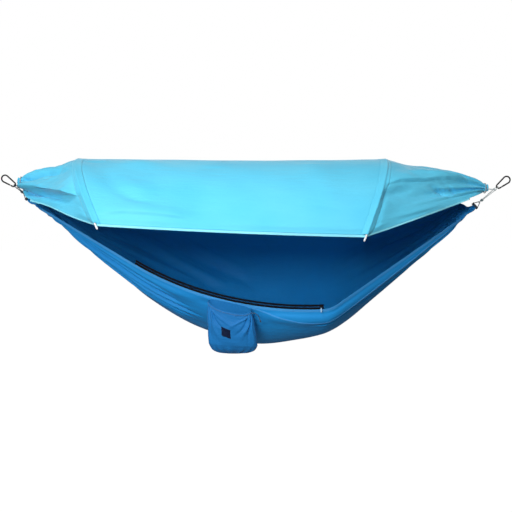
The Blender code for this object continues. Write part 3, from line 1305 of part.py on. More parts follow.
def build_drawstring(grid):
    """The cord round the front of the pouch's mouth, its knot, and the loose tail below the knot."""
    radius = DRAWSTRING_DIAMETER / 2
    offset = POUCH_WALL / 2 + TOUCH_GAP + radius * DRAWSTRING_OFF_share
    path = []
    for k in range(POUCH_SIDES // 2 + 1):
        index = (POUCH_SIDES // 2 - k) % POUCH_SIDES
        before, here, after = (grid[(index + step) % POUCH_SIDES] for step in (1, 0, -1))
        out = (here[1] - here[0]).cross(after[0] - before[0]).normalized()
        path.append(here[0].lerp(here[1], DRAWSTRING_LEVEL_share) + out * offset)
    cord = add_tube("pouch_drawstring", path, radius, "dark_rope", hint=UPWARD, sides=6)
    knot_radius = TAIL_KNOT_DIAMETER / 2
    knot_at = path[-1] + out * knot_radius
    knot = add_turned("mouth_knot", ball_profile(knot_radius), knot_at, UPWARD, "dark_rope", sides=8)
    combine(cord, knot, "UNION")
    start = knot_at + Vector((KNOT_FLAT_share * knot_radius + TOUCH_GAP, 0.0, 0.0))
    route = [start + Vector(shares) * TAIL_LENGTH for shares in TAIL_ROUTE_shares]
    add_cord("pouch_cord_tail", route, TAIL_DIAMETER / 2, "dark_rope")
    run = (route[-1] - route[-2]).normalized()
    end_at = route[-1] + run * (knot_radius + TOUCH_GAP)
    add_turned("pouch_tail_knot", ball_profile(knot_radius), end_at, run, "dark_rope", sides=8)


def ball_profile(radius, steps=5):
    """A ball's profile from pole to pole, for a turned solid."""
    turns = [math.pi * k / steps for k in range(1, steps)]
    sides = [(-radius * math.cos(turn), radius * math.sin(turn)) for turn in turns]
    return [(-radius, 0.0)] + sides + [(radius, 0.0)]


def build_label(bag):
    """A bare sewn patch that lies on the pouch's front."""
    turned = Matrix.Rotation(LABEL_TURN, 3, FRONTWARD)
    centre = POUCH_TOP + Vector((LABEL_OFFSET - POUCH_WIDTH / 8, 0.0, -LABEL_DROP))
    skin = BVHTree.FromPolygons([vertex.co for vertex in bag.vertices],
                                [tuple(face.vertices) for face in bag.polygons])
    lift = POUCH_WALL / 2 + 2 * TOUCH_GAP + LABEL_THICKNESS / 2
    grid = []
    for i in range(LABEL_STEPS + 1):
        column = []
        for j in range(LABEL_STEPS + 1):
            aside = LABEL_WIDTH * (i / LABEL_STEPS - 0.5)
            offset = Vector((aside, 0.0, LABEL_HEIGHT * (j / LABEL_STEPS - 0.5)))
            start = centre + turned @ offset + FRONTWARD * POUCH_HEIGHT
            hit, normal, _, _ = skin.ray_cast(start, ACROSS)
            column.append(hit + (normal if normal.y < 0 else -normal) * lift)
        grid.append(column)
    add_sheet("pouch_label", grid, LABEL_THICKNESS, "label")


def build_all():
    clear_objects()
    build_carabiner("left", LEFT_CARABINER)
    build_carabiner("right", RIGHT_CARABINER)
    build_hang_rope("left_hang_rope", LEFT_ROPE, "dark_rope")
    build_hang_rope("right_hang_rope", RIGHT_ROPE, "pale_rope")
    build_end_cord("left_end_cord", LEFT_ROPE, "dark_rope")
    build_end_cord("right_end_cord", RIGHT_ROPE, "dark_rope")
    build_canopy_cord("left_canopy_cord", LEFT_ROPE, LEFT_CANOPY_GATHER)
    build_canopy_cord("right_canopy_cord", RIGHT_ROPE, RIGHT_CANOPY_GATHER)
    build_bed()
    build_canopy()
    build_poles()
    build_nets()
    build_zip()
    build_pouch()


build_all()
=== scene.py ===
"""Hammock tent: a gathered nylon bed under a canopy on two bent poles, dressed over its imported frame.

Metres throughout. X runs along the hammock from left to right, +Y away from the viewer, +Z up.
"""
import math

import bpy
import numpy as np
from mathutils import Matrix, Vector


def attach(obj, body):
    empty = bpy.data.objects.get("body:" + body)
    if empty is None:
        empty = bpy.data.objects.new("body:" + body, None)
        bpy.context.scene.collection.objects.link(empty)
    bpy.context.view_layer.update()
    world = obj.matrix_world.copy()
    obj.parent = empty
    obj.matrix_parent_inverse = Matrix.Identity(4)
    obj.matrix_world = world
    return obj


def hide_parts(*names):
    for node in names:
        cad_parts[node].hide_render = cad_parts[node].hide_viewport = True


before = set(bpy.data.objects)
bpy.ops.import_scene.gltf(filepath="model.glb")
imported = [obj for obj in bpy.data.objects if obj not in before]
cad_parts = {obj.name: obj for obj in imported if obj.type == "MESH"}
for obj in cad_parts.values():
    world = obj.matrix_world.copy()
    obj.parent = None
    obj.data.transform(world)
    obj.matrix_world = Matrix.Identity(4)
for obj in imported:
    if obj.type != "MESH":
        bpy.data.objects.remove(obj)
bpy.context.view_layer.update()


# The studio
# A pale floor half a metre under the bed, three soft boxes in front and an even white surround.
# The camera stands five metres in front, a little above the gathers, with a long lens.
LOOK_AT = Vector((1.3319, 0.0, -0.41675))
CAMERA_PLACE = Vector((1.3319, -4.981, 0.01905))
lens = bpy.data.cameras.new("lens")
lens.lens = 66.33
lens.sensor_width = 36.0
lens.clip_end = 60.0
camera = bpy.data.objects.new("camera", lens)
bpy.context.collection.objects.link(camera)
camera.location = CAMERA_PLACE
camera.rotation_euler = (LOOK_AT - CAMERA_PLACE).to_track_quat("-Z", "Y").to_euler()
bpy.context.scene.camera = camera
bpy.context.scene.view_settings.view_transform = "Standard"


def soft_box(name, place, aim, size, watts, spread):
    lamp = bpy.data.lights.new(name, "AREA")
    lamp.spread = math.radians(spread)
    lamp.shape = "RECTANGLE"
    lamp.size, lamp.size_y = size
    lamp.energy = watts
    item = bpy.data.objects.new(name, lamp)
    bpy.context.collection.objects.link(item)
    item.location = place
    item.rotation_euler = (Vector(aim) - Vector(place)).to_track_quat("-Z", "Y").to_euler()


soft_box("key_box", (0.25, -2.7, 2.6), (1.3, 0.0, -0.2), (1.2, 0.9), 21.0, 110.0)
soft_box("side_box", (4.4, -2.6, 2.2), (1.6, 0.0, -0.3), (1.6, 1.6), 2.0, 110.0)
soft_box("front_box", (-0.1, -5.1, 1.1), (1.25, 0.0, -0.5), (2.2, 1.2), 43.0, 80.0)

surround = bpy.data.worlds.new("surround")
surround.use_nodes = True
bpy.context.scene.world = surround
air = surround.node_tree
seen = air.nodes.new("ShaderNodeLightPath")
direct = seen.outputs["Is Camera Ray"]
for ray in ("Is Transmission Ray", "Is Glossy Ray"):
    either = air.nodes.new("ShaderNodeMath")
    either.operation = "MAXIMUM"
    air.links.new(direct, either.inputs[0])
    air.links.new(seen.outputs[ray], either.inputs[1])
    direct = either.outputs[0]
level = air.nodes.new("ShaderNodeMix")
level.inputs["A"].default_value = 0.19
level.inputs["B"].default_value = 1.0
air.links.new(direct, level.inputs["Factor"])
air.links.new(level.outputs["Result"], air.nodes["Background"].inputs["Strength"])
air.nodes["Background"].inputs["Color"].default_value = (1.0, 1.0, 1.0, 1.0)

FLOOR_LEVEL, FLOOR_NEAR, FLOOR_FAR = -1.36, -9.0, 12.0
floor_corners = [(x, y, FLOOR_LEVEL) for x, y in ((FLOOR_NEAR, FLOOR_NEAR), (FLOOR_FAR, FLOOR_NEAR),
    (FLOOR_FAR, FLOOR_FAR), (FLOOR_NEAR, FLOOR_FAR))]
floor_mesh = bpy.data.meshes.new("floor")
floor_mesh.from_pydata(floor_corners, [], [(0, 1, 2, 3)])
floor = bpy.data.objects.new("floor", floor_mesh)
bpy.context.collection.objects.link(floor)
pale_floor = bpy.data.materials.new("pale_floor")
pale_floor.use_nodes = True
boards = pale_floor.node_tree
matt = boards.nodes["Principled BSDF"]
matt.inputs["Base Color"].default_value = (0.34, 0.34, 0.34, 1.0)
matt.inputs["Roughness"].default_value = 0.9
matt.inputs["Specular IOR Level"].default_value = 0.1
glow = boards.nodes.new("ShaderNodeEmission")
glow.inputs["Strength"].default_value = 1.24
seen = boards.nodes.new("ShaderNodeLightPath")
share = boards.nodes.new("ShaderNodeMath")
share.operation = "MULTIPLY"
share.inputs[1].default_value = 0.8
boards.links.new(seen.outputs["Is Camera Ray"], share.inputs[0])
blend = boards.nodes.new("ShaderNodeMixShader")
boards.links.new(share.outputs[0], blend.inputs["Fac"])
boards.links.new(matt.outputs[0], blend.inputs[1])
boards.links.new(glow.outputs[0], blend.inputs[2])
boards.links.new(blend.outputs[0], boards.nodes["Material Output"].inputs["Surface"])
floor_mesh.materials.append(pale_floor)


# The pouch's loose tail
# The free end of the pouch's drawcord: 3 mm braided polyester, 52 mm long, out of the knot at the
# mouth's right corner. It hangs down beside the pouch and ends in a knot of its own.
def maths_sign(operation, mirrored=False):
    """The method of a maths sign between two strands, or between a number and a strand."""
    def method(strand, other):
        pair = (other, strand) if mirrored else (strand, other)
        return strand.joined(operation, *pair)
    return method


class Strand:
    """A value in a material; the usual signs between strands write its maths nodes."""

    def __init__(self, dye, socket):
        self.dye = dye
        self.socket = socket

    def joined(self, operation, first, second=0.0):
        return self.dye.node("ShaderNodeMath", {"operation": operation}, {0: first, 1: second})

    __add__, __radd__ = maths_sign("ADD"), maths_sign("ADD", True)
    __sub__, __rsub__ = maths_sign("SUBTRACT"), maths_sign("SUBTRACT", True)
    __mul__, __rmul__ = maths_sign("MULTIPLY"), maths_sign("MULTIPLY", True)
    __truediv__, __rtruediv__ = maths_sign("DIVIDE"), maths_sign("DIVIDE", True)
    __gt__, __lt__ = maths_sign("GREATER_THAN"), maths_sign("GREATER_THAN", True)

    def wave(self, length):
        """A sine from -1 to 1 that repeats after a length."""
        return self.joined("SINE", self * (math.tau / length))


class Dye:
    """A material in the making, from its plain colour and roughness."""

    def __init__(self, name, colour, roughness, **fixed):
        self.material = bpy.data.materials.new(name)
        self.material.use_nodes = True
        self.tree = self.material.node_tree
        self.shader = self.tree.nodes["Principled BSDF"]
        self.feed("Base Color", (*colour, 1.0))
        self.feed("Roughness", roughness)
        for socket, value in fixed.items():
            self.feed(socket.replace("_", " "), value)

    def node(self, kind, settings=None, feeds=None, out=0):
        """Any node: its settings first, then the values or links of its sockets."""
        made = self.tree.nodes.new(kind)
        for key, value in (settings or {}).items():
            setattr(made, key, value)
        for key, value in (feeds or {}).items():
            self.join(made.inputs[key], value)
        return Strand(self, made.outputs[out])

    def join(self, socket, value):
        if isinstance(value, Strand):
            self.tree.links.new(value.socket, socket)
        else:
            socket.default_value = value

    def feed(self, socket, value):
        self.join(self.shader.inputs[socket], value)

    def mixed(self, factor, first, second):
        """A colour between two colours, each given as numbers or as a strand."""
        ends = [end if isinstance(end, Strand) else (*end, 1.0) for end in (first, second)]
        return self.node("ShaderNodeMix", {"data_type": "RGBA"}, {0: factor, 6: ends[0], 7: ends[1]}, out=2)

    def place(self):
        return self.node("ShaderNodeTexCoord", out=3)

    def cloth_place(self):
        """Metres along and across the cut cloth, from its own map."""
        return self.node("ShaderNodeUVMap", {"uv_map": "cloth"})

    def parts(self, vector):
        split = self.tree.nodes.new("ShaderNodeSeparateXYZ")
        self.join(split.inputs[0], vector)
        return [Strand(self, socket) for socket in split.outputs]

    def stretched(self, vector, scale):
        return self.node("ShaderNodeVectorMath", {"operation": "MULTIPLY"}, {0: vector, 1: scale})

    def mottle(self, vector, scale, detail=3.0, rough=0.5):
        return self.node("ShaderNodeTexNoise", None, {"Vector": vector, "Scale": scale, "Detail": detail,
            "Roughness": rough})

    def relief(self, height, strength, depth):
        bump = self.node("ShaderNodeBump", None, {"Height": height, "Strength": strength,
            "Distance": depth})
        self.feed("Normal", bump)


def braided(name, colour, light, pitch):
    """Braided cord: crossed lays of yarn on the cord's own map, turns around it and metres along it."""
    dye = Dye(name, colour, 0.72, Sheen_Weight=0.25, Sheen_Roughness=0.5)
    along, around, _ = dye.parts(dye.cloth_place())
    first = (along / pitch + around * 2.0).wave(1.0)
    second = (along / pitch - around * 2.0).wave(1.0)
    lay = (first * second) * 0.5 + 0.5
    dye.feed("Base Color", dye.mixed(lay, colour, light))
    dye.feed("Roughness", 0.8 - lay * 0.15)
    dye.relief(lay, 0.6, 0.0005)
    return dye.material


DARK_CORD = (0.01, 0.022, 0.04)
dark_braid = braided("dark_braid", DARK_CORD, (0.035, 0.06, 0.085), 0.006)


def lengths_of(path):
    steps = np.linalg.norm(np.diff(path, axis=0), axis=1)
    return np.concatenate([[0.0], np.cumsum(steps)])


def points_at(wanted, run, points):
    """Points between given points, whose places along a line are run."""
    return np.stack([np.interp(wanted, run, points[:, k]) for k in range(3)], axis=1)


def smooth_path(points, spacing, closed=False):
    """Evenly spaced points on a smooth curve through the given points."""
    points = np.asarray(points, float)
    if closed:
        ring = np.concatenate([points[-1:], points, points[:2]])
    else:
        ring = np.concatenate([2 * points[:1] - points[1:2], points, 2 * points[-1:] - points[-2:-1]])
    fine = []
    for i in range(1, len(ring) - 2):
        a, b, c, d = ring[i - 1:i + 3]
        t = np.linspace(0.0, 1.0, 24, endpoint=False)[:, None]
        fine.append(0.5 * (2 * b + (c - a) * t + (2 * a - 5 * b + 4 * c - d) * t ** 2
            + (3 * b - a - 3 * c + d) * t ** 3))
    fine = np.concatenate(fine + [ring[-2:-1]])
    run = lengths_of(fine)
    count = max(4, int(round(run[-1] / spacing)))
    even = points_at(np.linspace(0.0, run[-1], count + 1), run, fine)
    return even[:-1] if closed else even


def unit(vectors):
    return vectors / np.maximum(np.linalg.norm(vectors, axis=-1, keepdims=True), 1e-12)


def round_ways(turns, side, other):
    """Directions round a circle in the plane of two unit ways."""
    return np.cos(turns)[:, None] * side + np.sin(turns)[:, None] * other


def link_mesh(name, points, faces, material, maps=None):
    """A mesh object; the map gives each face corner its metres along and across."""
    mesh = bpy.data.meshes.new(name)
    mesh.from_pydata(np.asarray(points).tolist(), [], faces)
    if maps is not None:
        layer = mesh.uv_layers.new(name="cloth")
        layer.data.foreach_set("uv", np.asarray(maps, float).ravel())
    mesh.shade_smooth()
    mesh.materials.append(material)
    item = bpy.data.objects.new(name, mesh)
    bpy.context.collection.objects.link(item)
    return item


def ring_faces(rings, sides, base=0, closed=False):
    """The faces between rings of points in a row, with a cap at each end of an open row."""
    faces = []
    for i in range(rings if closed else rings - 1):
        here, there = base + i * sides, base + (i + 1) % rings * sides
        for j in range(sides):
            k = (j + 1) % sides
            faces.append([here + j, here + k, there + k, there + j])
    if not closed:
        far = base + (rings - 1) * sides
        faces += [list(range(base, base + sides))[::-1], list(range(far, far + sides))]
    return faces


def ring_map(run, around, closed=False):
    """The map that goes with those faces, from lengths along the row and round each ring."""
    maps = []
    for u0, u1 in zip(run, run[1:]):
        for v0, v1 in zip(around, around[1:]):
            maps += [(u0, v0), (u0, v1), (u1, v1), (u1, v0)]
    for end in () if closed else (run[0], run[-1]):
        maps += [(end, 0.0)] * (len(around) - 1)
    return maps


def tube_parts(path, radius, sides, closed=False, base=0, hint=(0.31, 0.83, 0.46)):
    """Points, faces and map of a round cord along a path."""
    path = np.asarray(path, float)
    if closed:
        runs = unit(np.roll(path, -1, axis=0) - np.roll(path, 1, axis=0))
    else:
        runs = unit(np.gradient(path, axis=0))
    points, side = [], np.array(hint)
    turns = np.linspace(0.0, math.tau, sides, endpoint=False)
    for spot, run in zip(path, runs):
        side = unit(side - run * np.dot(side, run))
        points.append(spot + radius * round_ways(turns, side, np.cross(run, side)))
    run_length = lengths_of(np.concatenate([path, path[:1]]) if closed else path)
    return (np.concatenate(points), ring_faces(len(path), sides, base, closed),
        ring_map(run_length, np.arange(sides + 1) / sides, closed))


def cord_piece(name, runs, material):
    """One object of several round cords: each run is its path, radius, sides and whether it is closed."""
    points, faces, maps = [], [], []
    for path, radius, sides, closed in runs:
        more = tube_parts(path, radius, sides, closed, sum(len(p) for p in points))
        points.append(more[0])
        faces += more[1]
        maps += more[2]
    return link_mesh(name, np.concatenate(points), faces, material, maps)


TAIL_LENGTH, TAIL_DIAMETER = 0.0525, 0.003
TAIL_ROUTE = [(1.31895, -0.40897, -0.66187), (1.32493, -0.4095, -0.66187), (1.33144, -0.40997, -0.66439),
    (1.33695, -0.40997, -0.66885), (1.34147, -0.40997, -0.67489), (1.34546, -0.40997, -0.68187),
    (1.34892, -0.4095, -0.68938), (1.35197, -0.40897, -0.69736)]


def overhand_knot(middle, run, radius, cord):
    """A small knot's winding: two turns of the cord round its own middle, over a short core."""
    run = unit(np.asarray(run, float))
    side = unit(np.cross(run, (0.0, 1.0, 0.2)))
    other = np.cross(run, side)
    turn = np.linspace(0.0, 2.0 * math.tau, 40)
    away = (radius - cord) * np.sqrt(np.clip(1.0 - (turn / (2.0 * math.tau) * 1.3 - 0.65) ** 2, 0.0, 1.0))
    way = (turn / (2.0 * math.tau) - 0.5) * (1.5 * radius)
    return np.asarray(middle) + way[:, None] * run + away[:, None] * round_ways(turn, side, other)


tail_path = smooth_path(TAIL_ROUTE, 0.002)
tail = cord_piece("drawcord_tail", [(tail_path, TAIL_DIAMETER / 2, 12, False)], dark_braid)
tail_run = unit(tail_path[-1] - tail_path[-2])
KNOT_RADIUS, KNOT_CORD = 0.004, 0.0014
tail_end = tail_path[-1] + tail_run * KNOT_RADIUS
tail_turns = overhand_knot(tail_end, tail_run, KNOT_RADIUS, KNOT_CORD)
tail_core = [tail_end - tail_run * KNOT_RADIUS, tail_end + tail_run * KNOT_RADIUS * 1.5]
tail_knot = cord_piece("drawcord_tail_knot", [(tail_turns, KNOT_CORD, 10, False),
    (tail_core, 0.0013, 10, False)], dark_braid)
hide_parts("pouch_cord_tail")
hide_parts("pouch_tail_knot")
for piece in (tail, tail_knot):
    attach(piece, "pouch")


# The two carabiners
# Each is an 8 mm alloy rod bent to a pear shape and anodised black. Its sprung gate turns on a rivet
# through a flattened tongue, on the lower side; the tree strap goes in the broad end.
LEFT_HOOK = np.array((0.063894, 0.0, -0.044739))
RIGHT_HOOK = np.array((2.600985, 0.0, -0.054646))
ACROSS = np.array((0.0, 1.0, 0.0))
ROD_RADIUS = 0.004
FOOT_LENGTH, TONGUE_REACH, GATE_LENGTH, NOSE_GAP = 0.008, 0.0046, 0.036, 0.0005
TONGUE_LENGTH, TONGUE_WIDTH, TONGUE_THICKNESS = 0.0095, 0.00544, 0.003
NARROW_RADIUS, BROAD_RADIUS, PEAR_LENGTH = 0.011, 0.0185, 0.082


def finish(name, tones, rough, grain, bump, worn=None, patchy=0.5, **fixed):
    """A plain finish: two tones and a roughness that vary by fine grain, or by rubbed patches.

    grain is its scale each way and its detail, bump its strength and depth; worn is the patches'
    scale and detail, the height over which they show, how much, and how deep they are."""
    dye = Dye(name, tones[0], rough[0], **fixed)
    spot = dye.place()
    fine = dye.mottle(dye.stretched(spot, grain[:3]), 1.0, grain[3], patchy)
    share = height = fine
    if worn:
        scale, detail, uneven, over, part, dent = worn
        share = (dye.mottle(spot, scale, detail, uneven) > over) * part
        height = fine + share * dent
    dye.feed("Base Color", dye.mixed(share, *tones))
    dye.feed("Roughness", rough[0] + fine * rough[1])
    dye.relief(height, *bump)
    return dye.material


anodised = finish("black_anodised", ((0.0075, 0.0078, 0.009), (0.055, 0.055, 0.06)), (0.3, 0.14),
    (1040.0, 1040.0, 1040.0, 3.0), (0.12, 0.0004), (90.0, 4.0, 0.65, 0.66, 0.35, 0.5), Metallic=0.75,
    Specular_IOR_Level=0.5, Coat_Weight=0.15, Coat_Roughness=0.3)
small_steel = finish("small_steel", ((0.42, 0.42, 0.43), (0.6, 0.6, 0.61)), (0.24, 0.16),
    (400.0, 900.0, 900.0, 3.0), (0.15, 0.0003), Metallic=1.0)


def slab_parts(outline, origin, axes, thickness, rounding, base=0):
    """Points and faces of a flat plate with eased rims: its outline in its first two axes."""
    outline = np.asarray(outline, float)
    middle = outline.mean(axis=0)
    toward = unit(middle - outline)
    half = thickness / 2
    points = []
    for inset, level in ((1.0, -half), (0.3, -half + rounding * 0.3), (0.0, -half + rounding),
            (0.0, half - rounding), (0.3, half - rounding * 0.3), (1.0, half)):
        ring = outline + toward * (rounding * inset)
        points.append(origin + ring[:, :1] * axes[0] + ring[:, 1:] * axes[1] + level * np.asarray(axes[2]))
    return np.concatenate(points), ring_faces(6, len(outline), base)


def stadium(length, width, steps=10):
    """A plate's outline with both ends round, centred, its length along the first axis."""
    half, radius = (length - width) / 2, width / 2
    turns = np.linspace(-math.pi / 2, math.pi / 2, steps)
    right = np.stack([half + radius * np.cos(turns), radius * np.sin(turns)], axis=1)
    return np.concatenate([right, -right])


class PearHook:
    """A carabiner's plane: outwards to the tree strap, and upwards across it."""

    def __init__(self, hook, tilt, outward):
        self.hook = hook
        self.out = np.array((outward * math.cos(tilt), 0.0, math.sin(tilt)))
        self.up = np.array((-outward * math.sin(tilt), 0.0, math.cos(tilt)))
        gap = PEAR_LENGTH - NARROW_RADIUS - BROAD_RADIUS
        self.lean = math.asin((BROAD_RADIUS - NARROW_RADIUS) / gap)

    def round_point(self, middle, radius, turn):
        return (self.hook + self.out * (middle + radius * math.cos(turn))
            + self.up * (radius * math.sin(turn)))

    def path(self):
        """From the gate's foot round the narrow end, up the back and round the broad end to the nose."""
        square = math.pi / 2 + self.lean
        far = PEAR_LENGTH - BROAD_RADIUS
        start = self.round_point(NARROW_RADIUS, NARROW_RADIUS, -square)
        run = unit(self.round_point(far, BROAD_RADIUS, -square) - start)
        points = [start + run * FOOT_LENGTH, start + run * (FOOT_LENGTH / 2)]
        points += [self.round_point(NARROW_RADIUS, NARROW_RADIUS,
            -square - (math.tau - 2 * square) * k / 18) for k in range(19)]
        points += [self.round_point(far, BROAD_RADIUS, square - 2 * square * k / 26) for k in range(27)]
        nose = start + run * (FOOT_LENGTH + TONGUE_REACH + GATE_LENGTH + NOSE_GAP)
        points.append(points[-1] * 0.5 + nose * 0.5)
        points.append(nose)
        return start, run, np.array(points)


for side, hook, tilt, outward in (("left", LEFT_HOOK, 35.0, -1.0), ("right", RIGHT_HOOK, 39.0, 1.0)):
    pear = PearHook(hook, math.radians(tilt), outward)
    foot, run, bent = pear.path()
    rivet = foot + run * (FOOT_LENGTH + TONGUE_REACH)
    rod_points, rod_faces, _ = tube_parts(bent, ROD_RADIUS, 22, hint=ACROSS)
    tongue_points, tongue_faces = slab_parts(stadium(TONGUE_LENGTH, TONGUE_WIDTH), rivet - run * 0.002,
        (run, np.cross(run, ACROSS), ACROSS), TONGUE_THICKNESS, 0.0004, len(rod_points))
    body = link_mesh(f"{side}_carabiner_rod", np.concatenate([rod_points, tongue_points]),
        rod_faces + tongue_faces, anodised)
    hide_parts(f"{side}_carabiner_body")
    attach(body, "hang_hardware")
    for node, metal in (("carabiner_gate", anodised), ("gate_rivet", small_steel),
            ("gate_spring", small_steel)):
        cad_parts[f"{side}_{node}"].material_slots[0].material = metal


# The two hang ropes
# Each is 4.5 mm braided cord doubled through its carabiner's narrow end, knotted in three turns and ended
# in a small eye. The left one is dark; the right one is pale, and its knot is a darker grey-green copy of
# the same braid as painted shade.
LEFT_GATHER = np.array((0.130011, 0.0, -0.106827))
RIGHT_GATHER = np.array((2.486585, 0.0, -0.151664))
LEFT_ROPE_WAY = np.array((0.728969, 0.0, -0.684547))
RIGHT_ROPE_WAY = np.array((-0.762668, 0.0, -0.64679))
ROPE_RADIUS = 0.00225
EYE_SPREAD = math.radians(14.0)
EYE_RISE = 0.00685
UPPER_EYE_HALF, LOWER_EYE_HALF, LOWER_EYE_LENGTH = 0.0115, 0.00525, 0.013
KNOT_HALF, KNOT_OVERLAP = 0.00725, 0.0058

pale_braid = braided("pale_braid", (0.4, 0.45, 0.45), (0.74, 0.8, 0.8), 0.007)
# The right knot's darker braid is painted shade on the pale rope.
painted_shade_knot_braid = braided("painted_shade_knot_braid", (0.1, 0.17, 0.18), (0.3, 0.4, 0.4), 0.007)


def upright_of(rope_way):
    square = np.cross(rope_way, ACROSS)
    return square if square[2] > 0 else -square


def spread_of(rope_way):
    """The way in which a rope's two strands lie side by side."""
    return ACROSS * math.cos(EYE_SPREAD) + upright_of(rope_way) * math.sin(EYE_SPREAD)


def open_eye(start, way, side, half, length, end_half, steps=22):
    """A path from a knot out along one strand, round the eye at the start and back again."""
    lean = math.atan2(half - end_half, length - half)
    path = [start + way * length + side * end_half]
    for k in range(steps + 1):
        turn = math.pi / 2 - lean + (math.pi + 2 * lean) * k / steps
        path.append(start + way * (half + half * math.cos(turn)) + side * (half * math.sin(turn)))
    path.append(start + way * length - side * end_half)
    return smooth_path(path, 0.0022)


def winding(middle, way, radius, turns, half):
    """Turns of cord wound round a line, from one end of a knot to the other."""
    side = unit(np.cross(way, (0.2, 0.9, 0.3)))
    turn = np.linspace(0.0, math.tau * turns, int(22 * turns))
    along = np.linspace(-half, half, len(turn))
    return middle + along[:, None] * way + radius * round_ways(turn, side, np.cross(way, side))


HANG_LINES = (("left", LEFT_HOOK, LEFT_ROPE_WAY, 0.048), ("right", RIGHT_HOOK, RIGHT_ROPE_WAY, 0.103))
for (side, hook, way, knot_at), (braid, knot_dye, slot) in zip(HANG_LINES,
        ((dark_braid, dark_braid, "dark_cord"), (pale_braid, painted_shade_knot_braid, "pale_cord"))):
    spread = spread_of(way)
    strand_half = 1.08 * ROPE_RADIUS
    upper = open_eye(hook - way * EYE_RISE, way, spread, UPPER_EYE_HALF, EYE_RISE + knot_at, strand_half)
    lower = open_eye(hook + way * (knot_at + KNOT_HALF + LOWER_EYE_LENGTH), -way, ACROSS, LOWER_EYE_HALF,
        LOWER_EYE_LENGTH + KNOT_OVERLAP, strand_half)
    rope = cord_piece(f"{side}_rope", [(path, ROPE_RADIUS, 14, False) for path in (upper, lower)], braid)
    knot_middle = hook + way * knot_at
    wound = winding(knot_middle, way, 0.0049, 2.6, 0.0052)
    tuck = winding(knot_middle, unit(way + spread * 0.75), 0.0047, 1.3, 0.003)
    knot = cord_piece(f"{side}_rope_knot", [(path, ROPE_RADIUS, 14, False) for path in (wound, tuck)],
        knot_dye)
    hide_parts(f"{side}_hang_rope")
    for piece in (rope, knot):
        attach(piece, "hammock")


# The two end cords
# A 4 mm dark cord is whipped three times round the bed's gathered end and runs up as a bridle
# through the rope's lower eye.
CORD_RADIUS = 0.002
BED_BUNDLE, PLEAT_DEPTH = 0.011, 0.0035
WHIP_RADIUS = BED_BUNDLE + PLEAT_DEPTH + 0.0013 + CORD_RADIUS
WHIP_TURNS = 3
BRIDLE_HALF, BRIDLE_GAP = 0.006, 0.0003

for (side, hook, way, knot_at), gather in zip(HANG_LINES, (LEFT_GATHER, RIGHT_GATHER)):
    upright = upright_of(way)
    turn = np.linspace(0.0, math.tau * WHIP_TURNS, 110)
    whipping = (gather + (turn / math.tau - WHIP_TURNS / 2)[:, None] * (2 * CORD_RADIUS * way)
        + WHIP_RADIUS * round_ways(turn, upright, ACROSS))
    bend_at = knot_at + KNOT_HALF + LOWER_EYE_LENGTH - (ROPE_RADIUS + CORD_RADIUS) - BRIDLE_GAP
    bend = [hook + way * (bend_at + BRIDLE_HALF + BRIDLE_HALF * math.cos(t))
        + upright * (BRIDLE_HALF * math.sin(t)) for t in np.linspace(math.pi / 2, 1.5 * math.pi, 15)]
    bridle = smooth_path([gather + upright * WHIP_RADIUS] + bend + [gather - upright * WHIP_RADIUS], 0.002)
    whip = cord_piece(f"{side}_whipping", [(path, CORD_RADIUS, 12, False) for path in (whipping, bridle)],
        dark_braid)
    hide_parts(f"{side}_end_cord")
    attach(whip, "hammock")


# The two canopy cords
# Thin pale cord, wound twice round the canopy's gathered end; its two strands run out to the hang
# rope below the carabiner and are tied round it.
LEFT_CANOPY_GATHER = np.array((0.095578, 0.0, -0.024157))
RIGHT_CANOPY_GATHER = np.array((2.536364, 0.0, -0.058595))
ALONG = np.array((0.999819, 0.0, -0.019023))
UPWARD = np.array((0.019023, 0.0, 0.999819))
THIN_RADIUS = 0.00125
CANOPY_BUNDLE = 0.02
CANOPY_WHIP = CANOPY_BUNDLE + PLEAT_DEPTH + 0.0014 + THIN_RADIUS
TIE_AT, EYE_HALF, STRAND_SAG = 0.016, 0.011, 0.0008
thin_braid = braided("thin_braid", (0.2, 0.29, 0.32), (0.46, 0.56, 0.6), 0.004)

for (side, hook, way, knot_at), gather in zip(HANG_LINES, (LEFT_CANOPY_GATHER, RIGHT_CANOPY_GATHER)):
    spread = spread_of(way)
    square = unit(np.cross(way, spread))
    taper = (TIE_AT + EYE_RISE - EYE_HALF) / (knot_at + EYE_RISE - EYE_HALF)
    strand_half = EYE_HALF + (ROPE_RADIUS - EYE_HALF) * taper
    hold = ROPE_RADIUS + 0.0006 + THIN_RADIUS
    middle = hook + way * TIE_AT
    turn = np.linspace(0.0, math.tau * 2, 84)
    wound = (gather + (turn / math.tau - 1.0)[:, None] * (0.0026 * ALONG)
        + CANOPY_WHIP * round_ways(turn, UPWARD, ACROSS))
    ring = []
    for end in (1, -1):
        for turn in np.linspace(-math.pi / 2, math.pi / 2, 12):
            ring.append(middle + spread * (end * (strand_half + hold * math.cos(turn)))
                + square * (end * hold * math.sin(turn)))
    runs = [(wound, THIN_RADIUS, 10, False), (ring, THIN_RADIUS, 10, True)]
    toward = unit(middle - gather)
    for sign in (1, -1):
        start = middle + spread * (sign * (strand_half + hold))
        level = toward[2] * CANOPY_WHIP * 0.5
        stop = gather + ACROSS * (sign * math.sqrt(CANOPY_WHIP ** 2 - level ** 2)) + UPWARD * level
        shares = np.linspace(0.0, 1.0, 14)[:, None]
        runs.append((start + (stop - start) * shares - UPWARD * (STRAND_SAG * 4 * shares * (1 - shares)),
            THIN_RADIUS * 0.96, 10, False))
    tie = cord_piece(f"{side}_canopy_tie", runs, thin_braid)
    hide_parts(f"{side}_canopy_cord")
    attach(tie, "hammock")


